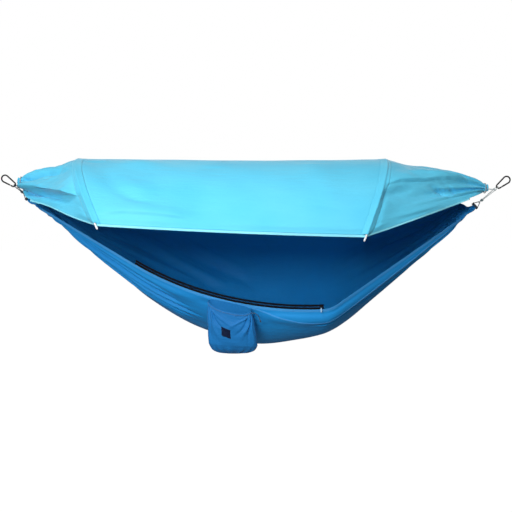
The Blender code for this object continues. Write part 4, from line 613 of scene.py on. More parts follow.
# The bed
# One sheet of royal-blue nylon, gathered at both ends into tight pleats and whipped with cord.
# It hangs as a deep trough; its pleats fan out from the gathers and fade towards the middle.
SPAN = 2.357
EDGE_TILT = math.radians(39.0)
EDGE_DOWN = -(ACROSS * math.sin(EDGE_TILT) + UPWARD * math.cos(EDGE_TILT))
EDGE_OUT = UPWARD * math.sin(EDGE_TILT) - ACROSS * math.cos(EDGE_TILT)
ARC_RADIUS = 1.529
ARC_MIDDLE_WAY = 1.432
ARC_DROP = 0.641 - ARC_RADIUS
ARC_CENTRE = LEFT_GATHER + ALONG * ARC_MIDDLE_WAY + EDGE_DOWN * ARC_DROP
TANGENT_ANGLE = -0.582045
KINK_START_ANGLE = 0.074627
RIGHT_EDGE_ANGLE = 0.68198
ARC_LEFT_WAY, ARC_RIGHT_WAY, KINK_END_WAY = 0.591458, 1.545999, 1.599181
BAND_LEAN = math.radians(62.6)
REAR_LEAN = math.radians(11.5)
REAR_TILT = math.radians(17.3)
REAR_UP = ACROSS * math.sin(REAR_LEAN) + UPWARD * math.cos(REAR_LEAN)
REAR_OUT = ACROSS * math.cos(REAR_LEAN) - UPWARD * math.sin(REAR_LEAN)
REAR_WAY = ACROSS * math.cos(REAR_TILT) - UPWARD * math.sin(REAR_TILT)
REAR_REACH = 0.545
BED_EDGE = -0.0289
BED_DEPTH = 0.746
BED_BOTTOM = np.array(((0.0, 0.0), (0.024, 0.04), (0.05, 0.116), (0.092, 0.222), (0.165, 0.423),
    (0.227, 0.576), (0.278, 0.701), (0.391, 0.896), (0.46, 0.96), (0.52, 1.0), (0.613, 0.951),
    (0.68, 0.885), (0.713, 0.824), (0.768, 0.679), (0.834, 0.497), (0.88, 0.361), (0.923, 0.235),
    (0.955, 0.126), (1.0, 0.0)))
BED_PLEATS = np.array(((0.0, 0.3), (0.03, 0.7), (0.07, 1.0), (0.12, 0.9), (0.18, 0.55), (0.25, 0.2),
    (0.33, 0.0), (0.72, 0.0), (0.8, 0.2), (0.88, 0.45), (0.94, 0.6), (0.98, 0.45), (1.0, 0.3)))


def smooth_through(pairs, x):
    """A smooth curve through pairs that never overshoots them."""
    xs, ys = pairs[:, 0], pairs[:, 1]
    steps = np.diff(ys) / np.diff(xs)
    slopes = np.concatenate([[steps[0]], np.zeros(len(steps) - 1), [steps[-1]]])
    for i in range(1, len(steps)):
        both = steps[i - 1] * steps[i]
        slopes[i] = 0.0 if both <= 0 else 2 * both / (steps[i - 1] + steps[i])
    x = np.clip(x, xs[0], xs[-1])
    i = np.clip(np.searchsorted(xs, x, side="right") - 1, 0, len(xs) - 2)
    h = xs[i + 1] - xs[i]
    u = (x - xs[i]) / h
    return ((2 * u ** 3 - 3 * u ** 2 + 1) * ys[i] + (u ** 3 - 2 * u ** 2 + u) * h * slopes[i]
        + (3 * u ** 2 - 2 * u ** 3) * ys[i + 1] + (u ** 3 - u ** 2) * h * slopes[i + 1])


def ease(x, start, stop):
    """From nought at the start to one at the stop, smoothly."""
    u = np.clip((np.asarray(x, float) - start) / (stop - start), 0.0, 1.0)
    return u * u * (3.0 - 2.0 * u)


def between(x, start, full, fading, stop):
    """Nought outside start and stop, one from full to fading."""
    return ease(x, start, full) * (1 - ease(x, fading, stop))


def bell(x, width):
    return np.exp(-(x / width) ** 2)


def inward_at(angle):
    return -(ALONG * math.sin(angle) + EDGE_DOWN * math.cos(angle))


def band_ways(inward):
    """The ways up and out of the front edge's leaning band."""
    return (inward * math.cos(BAND_LEAN) + EDGE_OUT * math.sin(BAND_LEAN),
        EDGE_OUT * math.cos(BAND_LEAN) - inward * math.sin(BAND_LEAN))


def front_edge(way):
    """The front edge's point before its band, and the way up and out of the band there."""
    if way < ARC_LEFT_WAY:
        drop, inward = way * math.tan(-TANGENT_ANGLE), inward_at(TANGENT_ANGLE)
    elif way <= ARC_RIGHT_WAY:
        angle = math.asin((way - ARC_MIDDLE_WAY) / ARC_RADIUS)
        drop, inward = ARC_DROP + ARC_RADIUS * math.cos(angle), inward_at(angle)
    elif way < KINK_END_WAY:
        share = (way - ARC_RIGHT_WAY) / (KINK_END_WAY - ARC_RIGHT_WAY)
        low = ARC_DROP + ARC_RADIUS * math.cos(KINK_START_ANGLE)
        high = (SPAN - KINK_END_WAY) * math.tan(RIGHT_EDGE_ANGLE)
        drop = low + (high - low) * (0.35 * share + 0.65 * share ** 2)
        inward = inward_at(KINK_START_ANGLE + (RIGHT_EDGE_ANGLE - KINK_START_ANGLE) * share)
    else:
        drop, inward = (SPAN - way) * math.tan(RIGHT_EDGE_ANGLE), inward_at(RIGHT_EDGE_ANGLE)
    return (LEFT_GATHER + ALONG * way + EDGE_DOWN * drop, *band_ways(inward))


def rear_edge(way):
    share = way / SPAN
    lifted = 0.034 * bell(share - 0.965, 0.03)
    return LEFT_GATHER + ALONG * way + REAR_WAY * (REAR_REACH * 4 * share * (1 - share)) + REAR_UP * lifted


def bed_section(way, rows):
    """One cross-section of the trough, at even lengths from its front edge to its rear edge."""
    edge, band_up, _ = front_edge(way)
    front = edge + band_up * BED_EDGE
    rear = rear_edge(way)
    depth = BED_DEPTH * float(smooth_through(BED_BOTTOM, way / SPAN))
    front_rise = np.dot(front - LEFT_GATHER, UPWARD)
    rear_rise = np.dot(rear - LEFT_GATHER, UPWARD)
    t, s = 0.42, 0.58
    pull = (-depth - s ** 3 * front_rise - t ** 3 * rear_rise) / (1 - s ** 3 - t ** 3)
    down = band_up - ALONG * np.dot(band_up, ALONG)
    b = front - down * ((front_rise - pull) / np.dot(down, UPWARD))
    c = rear - REAR_UP * ((rear_rise - pull) / np.dot(REAR_UP, UPWARD))
    u = np.linspace(0.0, 1.0, 320)[:, None]
    fine = front * (1 - u) ** 3 + b * 3 * (1 - u) ** 2 * u + c * 3 * (1 - u) * u ** 2 + rear * u ** 3
    run = lengths_of(fine)
    return points_at(rows * run[-1], run, fine)


def bundle(middle, upright, radius, rows, opens_up):
    """A gathered end's section: most of a circle, open on top or below."""
    turn = math.radians(150.0) * (2.0 * rows - 1.0)
    rise = (-1.0 if opens_up else 1.0) * np.cos(turn)
    return middle + np.sin(turn)[:, None] * ACROSS * radius + rise[:, None] * upright * radius


def sheet_normals(grid):
    """Outward-facing normals of a grid of cloth points, columns first."""
    return unit(np.cross(np.gradient(grid, axis=0), np.gradient(grid, axis=1)))


def grid_faces(columns, rows):
    index = np.arange(columns * rows).reshape(columns, rows)
    corners = (index[:-1, :-1], index[:-1, 1:], index[1:, 1:], index[1:, :-1])
    return np.stack(corners, axis=-1).reshape(-1, 4)


def flat_map(along, across):
    """Metres along and across the cut cloth for each point of a grid."""
    return np.stack(np.meshgrid(along, across, indexing="ij"), axis=-1)


def thicken(item, thickness):
    wall = item.modifiers.new("thickness", "SOLIDIFY")
    wall.thickness = thickness
    wall.offset = 0.0
    return item


def cloth_piece(name, grid, flat, material, thickness=0.0006):
    """A sheet from its grid of points and its flat map."""
    faces = grid_faces(*grid.shape[:2])
    return thicken(link_mesh(name, grid.reshape(-1, 3), faces.tolist(), material,
        flat.reshape(-1, 2)[faces.ravel()]), thickness)


def wander(x, seed, base=1.0):
    """A slow random curve between about -1 and 1, the same each time for its seed."""
    dice = np.random.default_rng(seed)
    total = np.zeros_like(np.asarray(x, float))
    for k in range(4):
        size = dice.uniform(0.5, 1.0) / (k + 1)
        pace = base * (k + 0.6 + dice.uniform(0, 0.6))
        total = total + size * np.sin(math.tau * (pace * x + dice.uniform()))
    return total / 1.6


def nylon(name, colour, light, deep, sheen):
    """Thin woven nylon: a fine plain weave, soft handling creases and a slow change of tone."""
    dye = Dye(name, colour, 0.52, Sheen_Weight=sheen, Sheen_Roughness=0.35, Specular_IOR_Level=0.12)
    cloth = dye.cloth_place()
    along, across, _ = dye.parts(cloth)
    slow = dye.mottle(cloth, 2.6, 2.0)
    fine = dye.mottle(dye.stretched(cloth, (9.0, 26.0, 1.0)), 1.0, 4.0, 0.6)
    tone = dye.mixed(slow * 1.6 - 0.3, deep, light)
    dye.feed("Base Color", dye.mixed(fine * 0.5 + 0.25, colour, tone))
    dye.feed("Roughness", 0.44 + fine * 0.16)
    weave = along.wave(0.0011) * across.wave(0.0011)
    crumple = dye.mottle(cloth, 34.0, 3.0, 0.55)
    dye.relief(fine * 1.0 + crumple * 0.35 + weave * 0.012, 0.55, 0.006)
    return dye.material


bed_nylon = nylon("bed_nylon", (0.014, 0.262, 0.65), (0.024, 0.325, 0.74), (0.007, 0.195, 0.55), 0.03)
BED_CUT = 1.42


def bed_rest(rows):
    """The bed's columns before its pleats: ways along the span and their points."""
    ways = np.unique(np.concatenate([np.linspace(0.013, 0.16, 32), np.linspace(0.16, SPAN - 0.16, 206),
        np.linspace(SPAN - 0.16, SPAN - 0.013, 32)]))
    left, right = (LEFT_GATHER, LEFT_ROPE_WAY), (RIGHT_GATHER, RIGHT_ROPE_WAY)
    columns = []
    for way in ways:
        section = bed_section(way, rows)
        for (gather, rope_way), reach in ((left, way), (right, SPAN - way)):
            if reach < 0.082:
                ring = bundle(gather + rope_way * min(reach, 0.04), upright_of(rope_way),
                    BED_BUNDLE * (1.0 + 0.25 * reach / 0.014), rows, True)
                share = float(ease(reach, 0.01, 0.082))
                section = ring * (1 - share) + section * share
        columns.append(section)
    reaches = np.array((-0.006, -0.0035, 0.0, 0.006, 0.01))
    ends = []
    for gather, rope_way in (left, right):
        ends.append([bundle(gather + rope_way * reach, upright_of(rope_way), BED_BUNDLE * size, rows, True)
            for reach, size in zip(reaches, (0.66, 0.84, 1.0, 1.04, 1.12))])
    return (np.concatenate([reaches, ways, SPAN - reaches[::-1]]),
        np.array(ends[0] + columns + ends[1][::-1]))


# Each fold: where across the cut, how wide, how deep, and how far it runs from the left or right gather.
BED_FOLDS = ((0.055, 0.012, -0.006, 0.95, "left"), (0.118, 0.016, 0.0045, 1.05, "left"),
    (0.172, 0.013, -0.005, 1.2, "left"), (0.235, 0.02, 0.005, 0.9, "left"),
    (0.292, 0.014, -0.008, 0.78, "left"), (0.36, 0.022, 0.007, 0.6, "left"),
    (0.56, 0.02, -0.008, 0.7, "left"), (0.64, 0.022, 0.009, 1.15, "left"),
    (0.715, 0.016, -0.0085, 1.3, "left"), (0.79, 0.022, 0.008, 1.1, "left"),
    (0.87, 0.018, -0.007, 0.85, "left"), (0.06, 0.013, -0.004, 0.5, "right"),
    (0.13, 0.02, 0.005, 0.62, "right"), (0.215, 0.018, -0.006, 0.55, "right"),
    (0.3, 0.022, 0.0045, 0.42, "right"), (0.6, 0.02, -0.007, 0.6, "right"),
    (0.69, 0.018, 0.008, 0.75, "right"), (0.77, 0.02, -0.007, 0.7, "right"),
    (0.86, 0.02, 0.0055, 0.5, "right"))

# Each crease: depth, width, and the line that it follows as ways along against rows across.
BED_CREASES = (
    (0.012, 0.022, ((0.36, 0.87), (0.498, 0.82), (0.667, 0.767), (0.836, 0.727), (1.05, 0.67))),
    (-0.011, 0.018, ((0.42, 0.905), (0.56, 0.852), (0.73, 0.8), (0.9, 0.755), (1.08, 0.71))),
    (0.011, 0.02, ((0.56, 0.925), (0.7, 0.872), (0.87, 0.82), (1.05, 0.772), (1.22, 0.73))),
    (-0.009, 0.018, ((0.72, 0.93), (0.86, 0.885), (1.02, 0.84), (1.18, 0.8))),
    (0.008, 0.022, ((1.6, 0.83), (1.75, 0.86), (1.9, 0.875), (2.05, 0.87))),
    (-0.008, 0.02, ((1.66, 0.77), (1.8, 0.8), (1.95, 0.815), (2.1, 0.81))))
# The rolled lip below the front edge: way along, how far it stands out, how far down it lies.
BED_LIP = np.array(((0.0, 0.0, 0.012), (0.15, 0.005, 0.014), (0.45, 0.009, 0.022), (0.8, 0.01, 0.034),
    (0.96, -0.003, 0.03), (1.21, -0.003, 0.03), (1.32, 0.011, 0.042), (1.45, 0.016, 0.05),
    (1.7, 0.016, 0.044), (2.0, 0.013, 0.036), (2.2, 0.007, 0.026), (2.36, 0.0, 0.012)))
# Each groove: depth, then its line as ways along against metres of cloth below the front edge.
BED_GROOVES = (
    (-0.015, ((0.04, 0.004), (0.15, 0.01), (0.3, 0.019), (0.45, 0.029), (0.63, 0.04), (0.84, 0.054))),
    (-0.019, ((0.04, 0.009), (0.15, 0.021), (0.3, 0.038), (0.45, 0.055), (0.63, 0.072), (0.92, 0.096))),
    (-0.019, ((0.04, 0.014), (0.15, 0.032), (0.3, 0.055), (0.45, 0.078), (0.63, 0.101), (0.98, 0.14))),
    (-0.017, ((0.12, 0.042), (0.3, 0.073), (0.45, 0.102), (0.63, 0.131), (0.95, 0.18))),
    (-0.014, ((0.3, 0.094), (0.45, 0.128), (0.63, 0.16), (0.9, 0.21))),
    (-0.009, ((1.48, 0.085), (1.7, 0.082), (1.95, 0.068), (2.15, 0.048), (2.3, 0.02))),
    (-0.008, ((1.7, 0.108), (1.95, 0.094), (2.15, 0.068), (2.3, 0.032))))


def line_through(line, x, start, stop):
    """A line's place at x, and how strongly it shows there, fading in over start and out over stop."""
    line = np.array(line)
    first, last = line[0, 0], line[-1, 0]
    return np.interp(x, line[:, 0], line[:, 1]), between(x, first, first + start, last - stop, last)


def bed_relief(ways, rows, lengths, lowest):
    """How far the cloth stands out of its trough: even pleats by the gathers, and long loose folds."""
    way, row = np.meshgrid(ways, rows, indexing="ij")
    near_left, near_right = np.maximum(way, 0.0), np.maximum(SPAN - way, 0.0)
    nearest = np.minimum(near_left, near_right)
    fanned = 0.013 * np.interp(way / SPAN, BED_PLEATS[:, 0], BED_PLEATS[:, 1])
    bulk = PLEAT_DEPTH + (fanned - PLEAT_DEPTH) * ease(nearest, 0.014, 0.081)
    warp = row + 0.012 * ease(near_left, 0.05, 0.4) * wander(row * 1.0, 3, base=2.0)
    phase = 20 * math.pi * warp
    pleat = np.cos(phase) * 0.92 + 0.2 * np.cos(2 * phase + 0.7) - 0.5
    free = ease(row, 0.045, 0.1) * ease(1 - row, 0.045, 0.1)
    uneven = 1.0 + 0.3 * wander(row, 11, base=3.0)
    drawn = bell(row - 0.17, 0.09) * between(near_left, 0.06, 0.14, 0.5, 0.6)
    total = bulk * pleat * free * uneven * (1 - 0.75 * drawn)
    for place, width, depth, reach, side in BED_FOLDS:
        from_end = near_left if side == "left" else near_right
        centre = place + 0.01 * wander(from_end, int(place * 1000), base=0.8)
        spread = width * (0.55 + 0.9 * ease(from_end, 0.0, reach))
        strength = between(from_end, 0.02, 0.14, reach * 0.35, reach)
        total = total + 1.5 * depth * strength * bell(row - centre, spread)
    for depth, width, line in BED_CREASES:
        centre, ends = line_through(line, way, 0.1, 0.12)
        total = total + depth * ends * bell(row - centre, width)
    below = row * lengths[:, None]
    crest = np.interp(way, BED_LIP[:, 0], BED_LIP[:, 2])
    total = total + np.interp(way, BED_LIP[:, 0], BED_LIP[:, 1]) * bell(below - crest, 0.75 * crest)
    for depth, line in BED_GROOVES:
        centre, ends = line_through(line, way, 0.08, 0.22)
        aside = below - centre
        total = total + depth * ends * (bell(aside, 0.0062) - 0.45 * bell(aside - 0.012, 0.0075))
    middle = between(way, 0.5, 0.9, 1.6, 2.0)
    total = total + middle * 0.004 * np.sin(3 * math.pi * row) * wander(way * 0.5 + row, 21)
    taut = ease(nearest, 0.03, 0.12)
    total = total * (1 - 0.85 * taut * bell(row - lowest[:, None], 0.055))
    return total * ease(row, 0.0, 0.02) * ease(1 - row, 0.0, 0.02)


bed_rows = np.concatenate([np.linspace(0.0, 0.28, 88), np.linspace(0.28, 1.0, 73)[1:]])
bed_ways, bed_grid = bed_rest(bed_rows)
bed_out = -sheet_normals(bed_grid)
bed_lengths = np.linalg.norm(np.diff(bed_grid, axis=1), axis=2).sum(axis=1)
bed_lowest = bed_rows[(bed_grid @ UPWARD).argmin(axis=1)]
bed_grid = bed_grid + bed_out * bed_relief(bed_ways, bed_rows, bed_lengths, bed_lowest)[:, :, None]
bed = cloth_piece("bed_cloth", bed_grid, flat_map(bed_ways, bed_rows * BED_CUT), bed_nylon)
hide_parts("bed_sheet")
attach(bed, "hammock")


# The canopy
# A sky-blue nylon sheet over both poles, gathered at each end like the bed and tied to the ropes.
# Between the poles it is nearly flat; towards the gathers it drops and crumples into long folds.
POLE_SECTION, CLOTH_UNDER_POLE = 0.356, 0.0062


class Bow:
    """One bent pole's arc, in a plane that leans outwards at its top; shares run from -1 to 1."""

    def __init__(self, way, drop, lean, half_angle, outward):
        self.upright = UPWARD * math.cos(lean) + ALONG * (outward * math.sin(lean))
        self.radius = POLE_SECTION * 4 / (2 * half_angle)
        self.half_angle = half_angle
        self.centre = LEFT_GATHER + ALONG * way - UPWARD * drop - self.upright * (self.radius
            * math.cos(half_angle))

    def direction(self, share):
        turn = self.half_angle * np.asarray(share, float)[..., None]
        return ACROSS * np.sin(turn) + self.upright * np.cos(turn)

    def pole(self, share):
        return self.centre + self.direction(share) * self.radius

    def cloth(self, share):
        return self.centre + self.direction(share) * (self.radius - CLOTH_UNDER_POLE)


LEFT_TIP_WAY, RIGHT_TIP_WAY = 0.45, SPAN - 0.63
LEFT_END_WAY, RIGHT_END_WAY = -0.036, SPAN + 0.048
left_bow = Bow(LEFT_TIP_WAY, 0.097, math.radians(30.7), math.radians(62.2), -1.0)
right_bow = Bow(RIGHT_TIP_WAY, 0.129, math.radians(22.1), math.radians(71.7), 1.0)
CANOPY_PLEATS = np.array(((0.0, 0.0), (0.25, 0.05), (0.5, 0.35), (0.75, 0.7), (0.9, 0.65), (1.0, 0.3)))
CANOPY_CUT = 1.46

canopy_nylon = nylon("canopy_nylon", (0.115, 0.62, 0.88), (0.185, 0.71, 0.94), (0.06, 0.51, 0.78), 0.2)

# Each fold: depth, width above and below, how sharp its lower side is, and its line as ways along
# against rows across, with the front hem at minus one.
CANOPY_FOLDS = (
    (0.054, 0.13, 0.04, 0.95, ((-0.06, -0.9), (0.06, -0.8), (0.16, -0.745), (0.341, -0.73),
    (0.44, -0.745))),
    (-0.046, 0.055, 0.11, 0.0, ((-0.2, -0.3), (0.038, -0.36), (0.1, -0.34), (0.206, -0.3), (0.341, -0.35),
    (0.462, -0.44))),
    (-0.034, 0.045, 0.07, 0.0, ((-0.2, -0.94), (0.06, -0.85), (0.16, -0.795), (0.341, -0.785),
    (0.43, -0.795))),
    (0.018, 0.09, 0.028, 0.6, ((0.45, -0.925), (0.614, -0.9), (0.708, -0.905), (0.95, -0.925))),
    (0.012, 0.11, 0.1, 0.0, ((0.58, -0.25), (0.719, -0.25), (0.84, -0.27))),
    (0.01, 0.09, 0.08, 0.0, ((0.56, -0.58), (0.684, -0.637), (0.8, -0.67))),
    (0.034, 0.17, 0.07, 0.6, ((1.69, -0.587), (1.816, -0.525), (1.987, -0.512), (2.157, -0.475),
    (2.337, -0.45))),
    (0.014, 0.06, 0.06, 0.0, ((1.78, -0.38), (1.816, -0.387), (1.987, -0.35), (2.131, -0.463),
    (2.23, -0.48))),
    (-0.016, 0.06, 0.06, 0.0, ((1.66, -0.625), (1.753, -0.66), (1.95, -0.62))),
    (-0.018, 0.04, 0.03, 0.0, ((1.99, -0.56), (2.041, -0.6), (2.104, -0.662), (2.166, -0.8),
    (2.23, -0.86))),
    (-0.01, 0.03, 0.025, 0.0, ((2.05, -0.5), (2.1, -0.545), (2.16, -0.62), (2.22, -0.74), (2.29, -0.8))),
    (-0.009, 0.03, 0.03, 0.0, ((2.11, -0.3), (2.18, -0.33), (2.27, -0.42), (2.34, -0.56))),
    (0.006, 0.05, 0.02, 0.3, ((1.79, -0.905), (1.834, -0.912), (1.951, -0.93), (2.077, -0.94),
    (2.16, -0.945))))
# Each crease: depth, width in metres, and its line as rows across against ways along.
CANOPY_CREASES = (
    (-0.007, 0.012, ((-0.7, 0.44), (-0.75, 0.436), (-0.825, 0.462), (-0.925, 0.438), (-0.99, 0.446))),
    (-0.008, 0.05, ((-0.15, 0.52), (-0.4, 0.56), (-0.6, 0.6), (-0.712, 0.625), (-0.825, 0.71))),
    (-0.005, 0.014, ((-0.6, 1.758), (-0.825, 1.753), (-0.95, 1.762), (-0.99, 1.764))),
    (0.007, 0.06, ((-0.2, 1.42), (-0.5, 1.47), (-0.8, 1.54))),
    (-0.004, 0.05, ((-0.3, 1.02), (-0.6, 0.98), (-0.9, 0.93))))


def canopy_rest(rows):
    """The canopy's columns before its folds: way, which part it is, share to the gather, and points."""
    found = []
    for share in np.linspace(0.0, 1.0, 110):
        points = left_bow.cloth(rows) * (1 - share) + right_bow.cloth(rows) * share
        points = points - UPWARD * (0.006 * 4 * share * (1 - share))
        found.append((LEFT_TIP_WAY + (RIGHT_TIP_WAY - LEFT_TIP_WAY) * share, "middle", share, points))
    left = ("left", left_bow, LEFT_CANOPY_GATHER, LEFT_TIP_WAY, LEFT_END_WAY, ALONG, 0.0)
    right = ("right", right_bow, RIGHT_CANOPY_GATHER, RIGHT_TIP_WAY, RIGHT_END_WAY, -ALONG, SPAN)
    for (name, bow, gather, tip, end, inward, gather_way), puff, droop, sag in ((left, 0.016, 0.036, 0.02),
            (right, 0.038, 0.0, 0.002)):
        turns = (rows + 1) / 2
        ring = bundle(gather, UPWARD, CANOPY_BUNDLE, turns, False)
        reach = abs(end - tip)
        for share in np.concatenate([np.linspace(0.012, 0.9, 68),
                np.linspace(0.9, 1.0 - 0.014 / reach, 10)[1:]]):
            slack = 4 * share * (1 - share)
            points = bow.cloth(rows) * (1 - share) + ring * share
            across = bow.direction(rows)
            valley = 0.022 * bell(np.abs(rows) - 0.7, 0.12)
            crown = puff * (1 - rows ** 2) * share
            drop = sag * rows ** 2 + valley * (across @ UPWARD)
            swing = 0.028 * np.abs(rows) ** 6 * np.sign(rows)
            points = points + slack * ((crown - drop)[:, None] * UPWARD
                + (swing - valley * (across @ ACROSS))[:, None] * ACROSS)
            neck = bundle(gather + inward * 0.014, UPWARD, CANOPY_BUNDLE * 1.25, turns, False)
            closing = float(ease(share, 0.9, 1.0))
            points = points * (1 - closing) + neck * closing
            way = tip + (end - tip) * share
            flap = np.abs(rows) ** 4 * bell(way - gather_way - 0.005, 0.11) * (1 - closing)
            swing = flap * 0.022 * np.sign(rows)
            points = points - (flap * droop)[:, None] * UPWARD + swing[:, None] * ACROSS
            found.append((way, name, share, points))
        for reach, size in ((0.01, 1.15), (0.005, 1.02), (0.0, 0.96), (-0.004, 0.86), (-0.008, 0.84),
                (-0.012, 0.88), (-0.016, 0.92)):
            frill = 1.0 + 0.16 * ease(-reach, 0.004, 0.014) * np.sin(rows * 34.0)
            points = gather + inward * reach + frill[:, None] * bundle(ALONG * 0.0, UPWARD,
                CANOPY_BUNDLE * size, turns, False)
            found.append((end + (reach if name == "left" else -reach), name, 1.0, points))
    found.sort(key=lambda column: column[0])
    return found


def canopy_fold(way, rows, depth, above, below, sharp, line):
    """One fold's height along a column: full on its line, with a sharp step on its lower side."""
    fade = (0.5 - 0.36 * sharp) * (line[-1][0] - line[0][0])
    centre, ends = line_through(line, way, fade, fade)
    x = rows - centre
    step = ease(x, -0.01, 0.003)
    return depth * ends * ((1.0 - sharp) * bell(x, below) * (1 - step) + bell(x, above) * step)


def canopy_relief(column, rows):
    """How far the canopy's cloth stands out of its plain surface in one column."""
    way, part, share, _ = column
    from_bow = min(abs(way - LEFT_TIP_WAY), abs(way - RIGHT_TIP_WAY))
    stretched_over = 0.0085 * float(ease(from_bow, 0.006, 0.024))
    if part != "middle":
        stretched_over = stretched_over * bell(max(from_bow - 0.03, 0.0), 0.09)
    total = np.full_like(rows, stretched_over)
    for depth, above, below, sharp, line in CANOPY_FOLDS:
        total = total + canopy_fold(way, rows, depth, above, below, sharp, line)
        total = total + canopy_fold(way + 0.03, -rows, 0.8 * depth, above, below, sharp, line)
    for depth, width, line in CANOPY_CREASES:
        for side, size in ((rows, 1.0), (-rows, 0.7)):
            centre, ends = line_through(line[::-1], side, 0.06, 0.06)
            total = total + size * depth * ends * bell(way - centre, width)
    if part == "middle":
        calm = float(ease(share, 0.0, 0.2) * ease(1 - share, 0.0, 0.2))
        total = total + 0.0034 * calm * wander(rows * 0.7 + way * 0.9, 5)
        near = math.exp(-share / 0.05) + math.exp(-(1 - share) / 0.05)
        total = total + 0.002 * near * np.sin(rows * 17.0 + 0.8 * wander(rows, 8)) * (0 < share < 1)
        return total * ease(1 - np.abs(rows), 0.0, 0.05)
    bulk = 0.012 * np.interp(share, CANOPY_PLEATS[:, 0], CANOPY_PLEATS[:, 1])
    bulk = bulk + (PLEAT_DEPTH - bulk) * float(ease(share, 0.93, 1.0))
    phase = 10 * math.pi * (rows + 1) + 0.8 * (1 - share) * wander(rows, 17, base=0.8)
    free = ease(1 - np.abs(rows), 0.09, 0.2)
    total = total * float(1 - ease(share, 0.9, 0.99))
    pleat = np.cos(phase) * 0.92 + 0.22 * np.cos(2 * phase + 0.5)
    total = total + bulk * pleat * free * (1 + 0.3 * wander(rows, 31))
    crumple = float(ease(share, 0.0, 0.2) * (1 - ease(share, 0.8, 1.0)))
    total = total + crumple * 0.004 * wander(rows * 2.2 + share * 1.6, 51 if part == "left" else 52,
        base=1.1)
    return total * ease(1 - np.abs(rows), 0.0, 0.05)


canopy_rows = np.concatenate([np.linspace(-1.0, -0.5, 61), np.linspace(-0.5, 1.0, 101)[1:]])
canopy_columns = canopy_rest(canopy_rows)
canopy_ways = np.array([column[0] for column in canopy_columns])
canopy_grid = np.array([column[3] for column in canopy_columns])
canopy_lift = np.array([canopy_relief(column, canopy_rows) for column in canopy_columns])
canopy_grid = canopy_grid + sheet_normals(canopy_grid) * canopy_lift[:, :, None]
canopy_flat = flat_map(canopy_ways, (canopy_rows + 1) / 2 * CANOPY_CUT)
canopy = cloth_piece("canopy_cloth", canopy_grid, canopy_flat, canopy_nylon)
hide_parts("canopy_sheet")
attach(canopy, "hammock")


# The bed's two hems and its seam
# The sheet's long edges are rolled and sewn with two rows of stitches. A flat-felled seam runs from
# the front hem down under the middle and follows the right edge to the gather.
# The hems and the seam are a paler blue than the bed's cloth: a painted highlight for the light band along
# each rolled edge.
hem_cloth_painted_highlight = nylon("hem_cloth_painted_highlight", (0.06, 0.35, 0.78), (0.09, 0.42, 0.85), (0.035, 0.27, 0.67), 0.08)
HEM_WIDTH, HEM_THICKNESS = 0.014, 0.0016
HEM_MIDDLE = -0.0216
STITCH_PITCH, STITCH_SIZE, STITCH_RISE = 0.0045, (0.0033, 0.0006, 0.0005), 0.00075
HEM_SECTION = np.array(((-1.0, 0.0), (-0.97, 0.72), (-0.84, 1.0), (-0.45, 0.74), (0.0, 0.8), (0.45, 0.74),
    (0.84, 1.0), (0.97, 0.72), (1.0, 0.0), (0.97, -0.72), (0.84, -1.0), (0.45, -0.74), (0.0, -0.8),
    (-0.45, -0.74), (-0.84, -1.0), (-0.97, -0.72)))


def band_piece(name, middles, wides, thicks, width, thickness, material):
    """A sewn band along its middle line, with a full rim at each side and the cloth drawn in between."""
    middles, wides, thicks = (np.asarray(part, float) for part in (middles, wides, thicks))
    points = (middles[:, None] + wides[:, None] * (HEM_SECTION[:, 0] * width / 2)[None, :, None]
        + thicks[:, None] * (HEM_SECTION[:, 1] * thickness / 2)[None, :, None]).reshape(-1, 3)
    around = np.concatenate([HEM_SECTION[:, 0], HEM_SECTION[:1, 0]]) * width / 2
    return link_mesh(name, points, ring_faces(len(middles), len(HEM_SECTION)), material,
        ring_map(lengths_of(middles), around))


def row_maker():
    """A node group that sets small round-ended pieces along a line at an even pitch."""
    group = bpy.data.node_groups.new("row_of_pieces", "GeometryNodeTree")
    group.interface.new_socket("Geometry", in_out="INPUT", socket_type="NodeSocketGeometry")
    for label in ("Pitch", "Length", "Width", "Height"):
        group.interface.new_socket(label, in_out="INPUT", socket_type="NodeSocketFloat")
    group.interface.new_socket("Material", in_out="INPUT", socket_type="NodeSocketMaterial")
    group.interface.new_socket("Geometry", in_out="OUTPUT", socket_type="NodeSocketGeometry")
    kinds = {"start": "NodeGroupInput", "curve": "GeometryNodeMeshToCurve",
        "spaced": "GeometryNodeResampleCurve", "bead": "GeometryNodeMeshUVSphere",
        "tangent": "GeometryNodeInputTangent", "across": "GeometryNodeInputNamedAttribute",
        "lengthwise": "FunctionNodeAlignRotationToVector", "upright": "FunctionNodeAlignRotationToVector",
        "size": "ShaderNodeCombineXYZ", "each": "GeometryNodeInstanceOnPoints",
        "real": "GeometryNodeRealizeInstances", "dressed": "GeometryNodeSetMaterial",
        "end": "NodeGroupOutput"}
    at = {name: group.nodes.new(kind) for name, kind in kinds.items()}
    at["spaced"].mode = "LENGTH"
    for label, value in (("Segments", 6), ("Rings", 4), ("Radius", 0.5)):
        at["bead"].inputs[label].default_value = value
    at["across"].data_type = "FLOAT_VECTOR"
    at["across"].inputs["Name"].default_value = "across"
    at["lengthwise"].axis = "X"
    at["upright"].axis = "Z"
    at["upright"].pivot_axis = "X"
    for source, given, target, taken in (("start", "Geometry", "curve", "Mesh"),
            ("curve", "Curve", "spaced", "Curve"), ("start", "Pitch", "spaced", "Length"),
            ("tangent", 0, "lengthwise", "Vector"), ("lengthwise", "Rotation", "upright", "Rotation"),
            ("across", "Attribute", "upright", "Vector"), ("start", "Length", "size", "X"),
            ("start", "Width", "size", "Y"), ("start", "Height", "size", "Z"),
            ("spaced", "Curve", "each", "Points"), ("bead", "Mesh", "each", "Instance"),
            ("upright", "Rotation", "each", "Rotation"), ("size", "Vector", "each", "Scale"),
            ("each", "Instances", "real", "Geometry"), ("real", "Geometry", "dressed", "Geometry"),
            ("start", "Material", "dressed", "Material"), ("dressed", "Geometry", "end", 0)):
        group.links.new(at[source].outputs[given], at[target].inputs[taken])
    return group


row_of_pieces = row_maker()


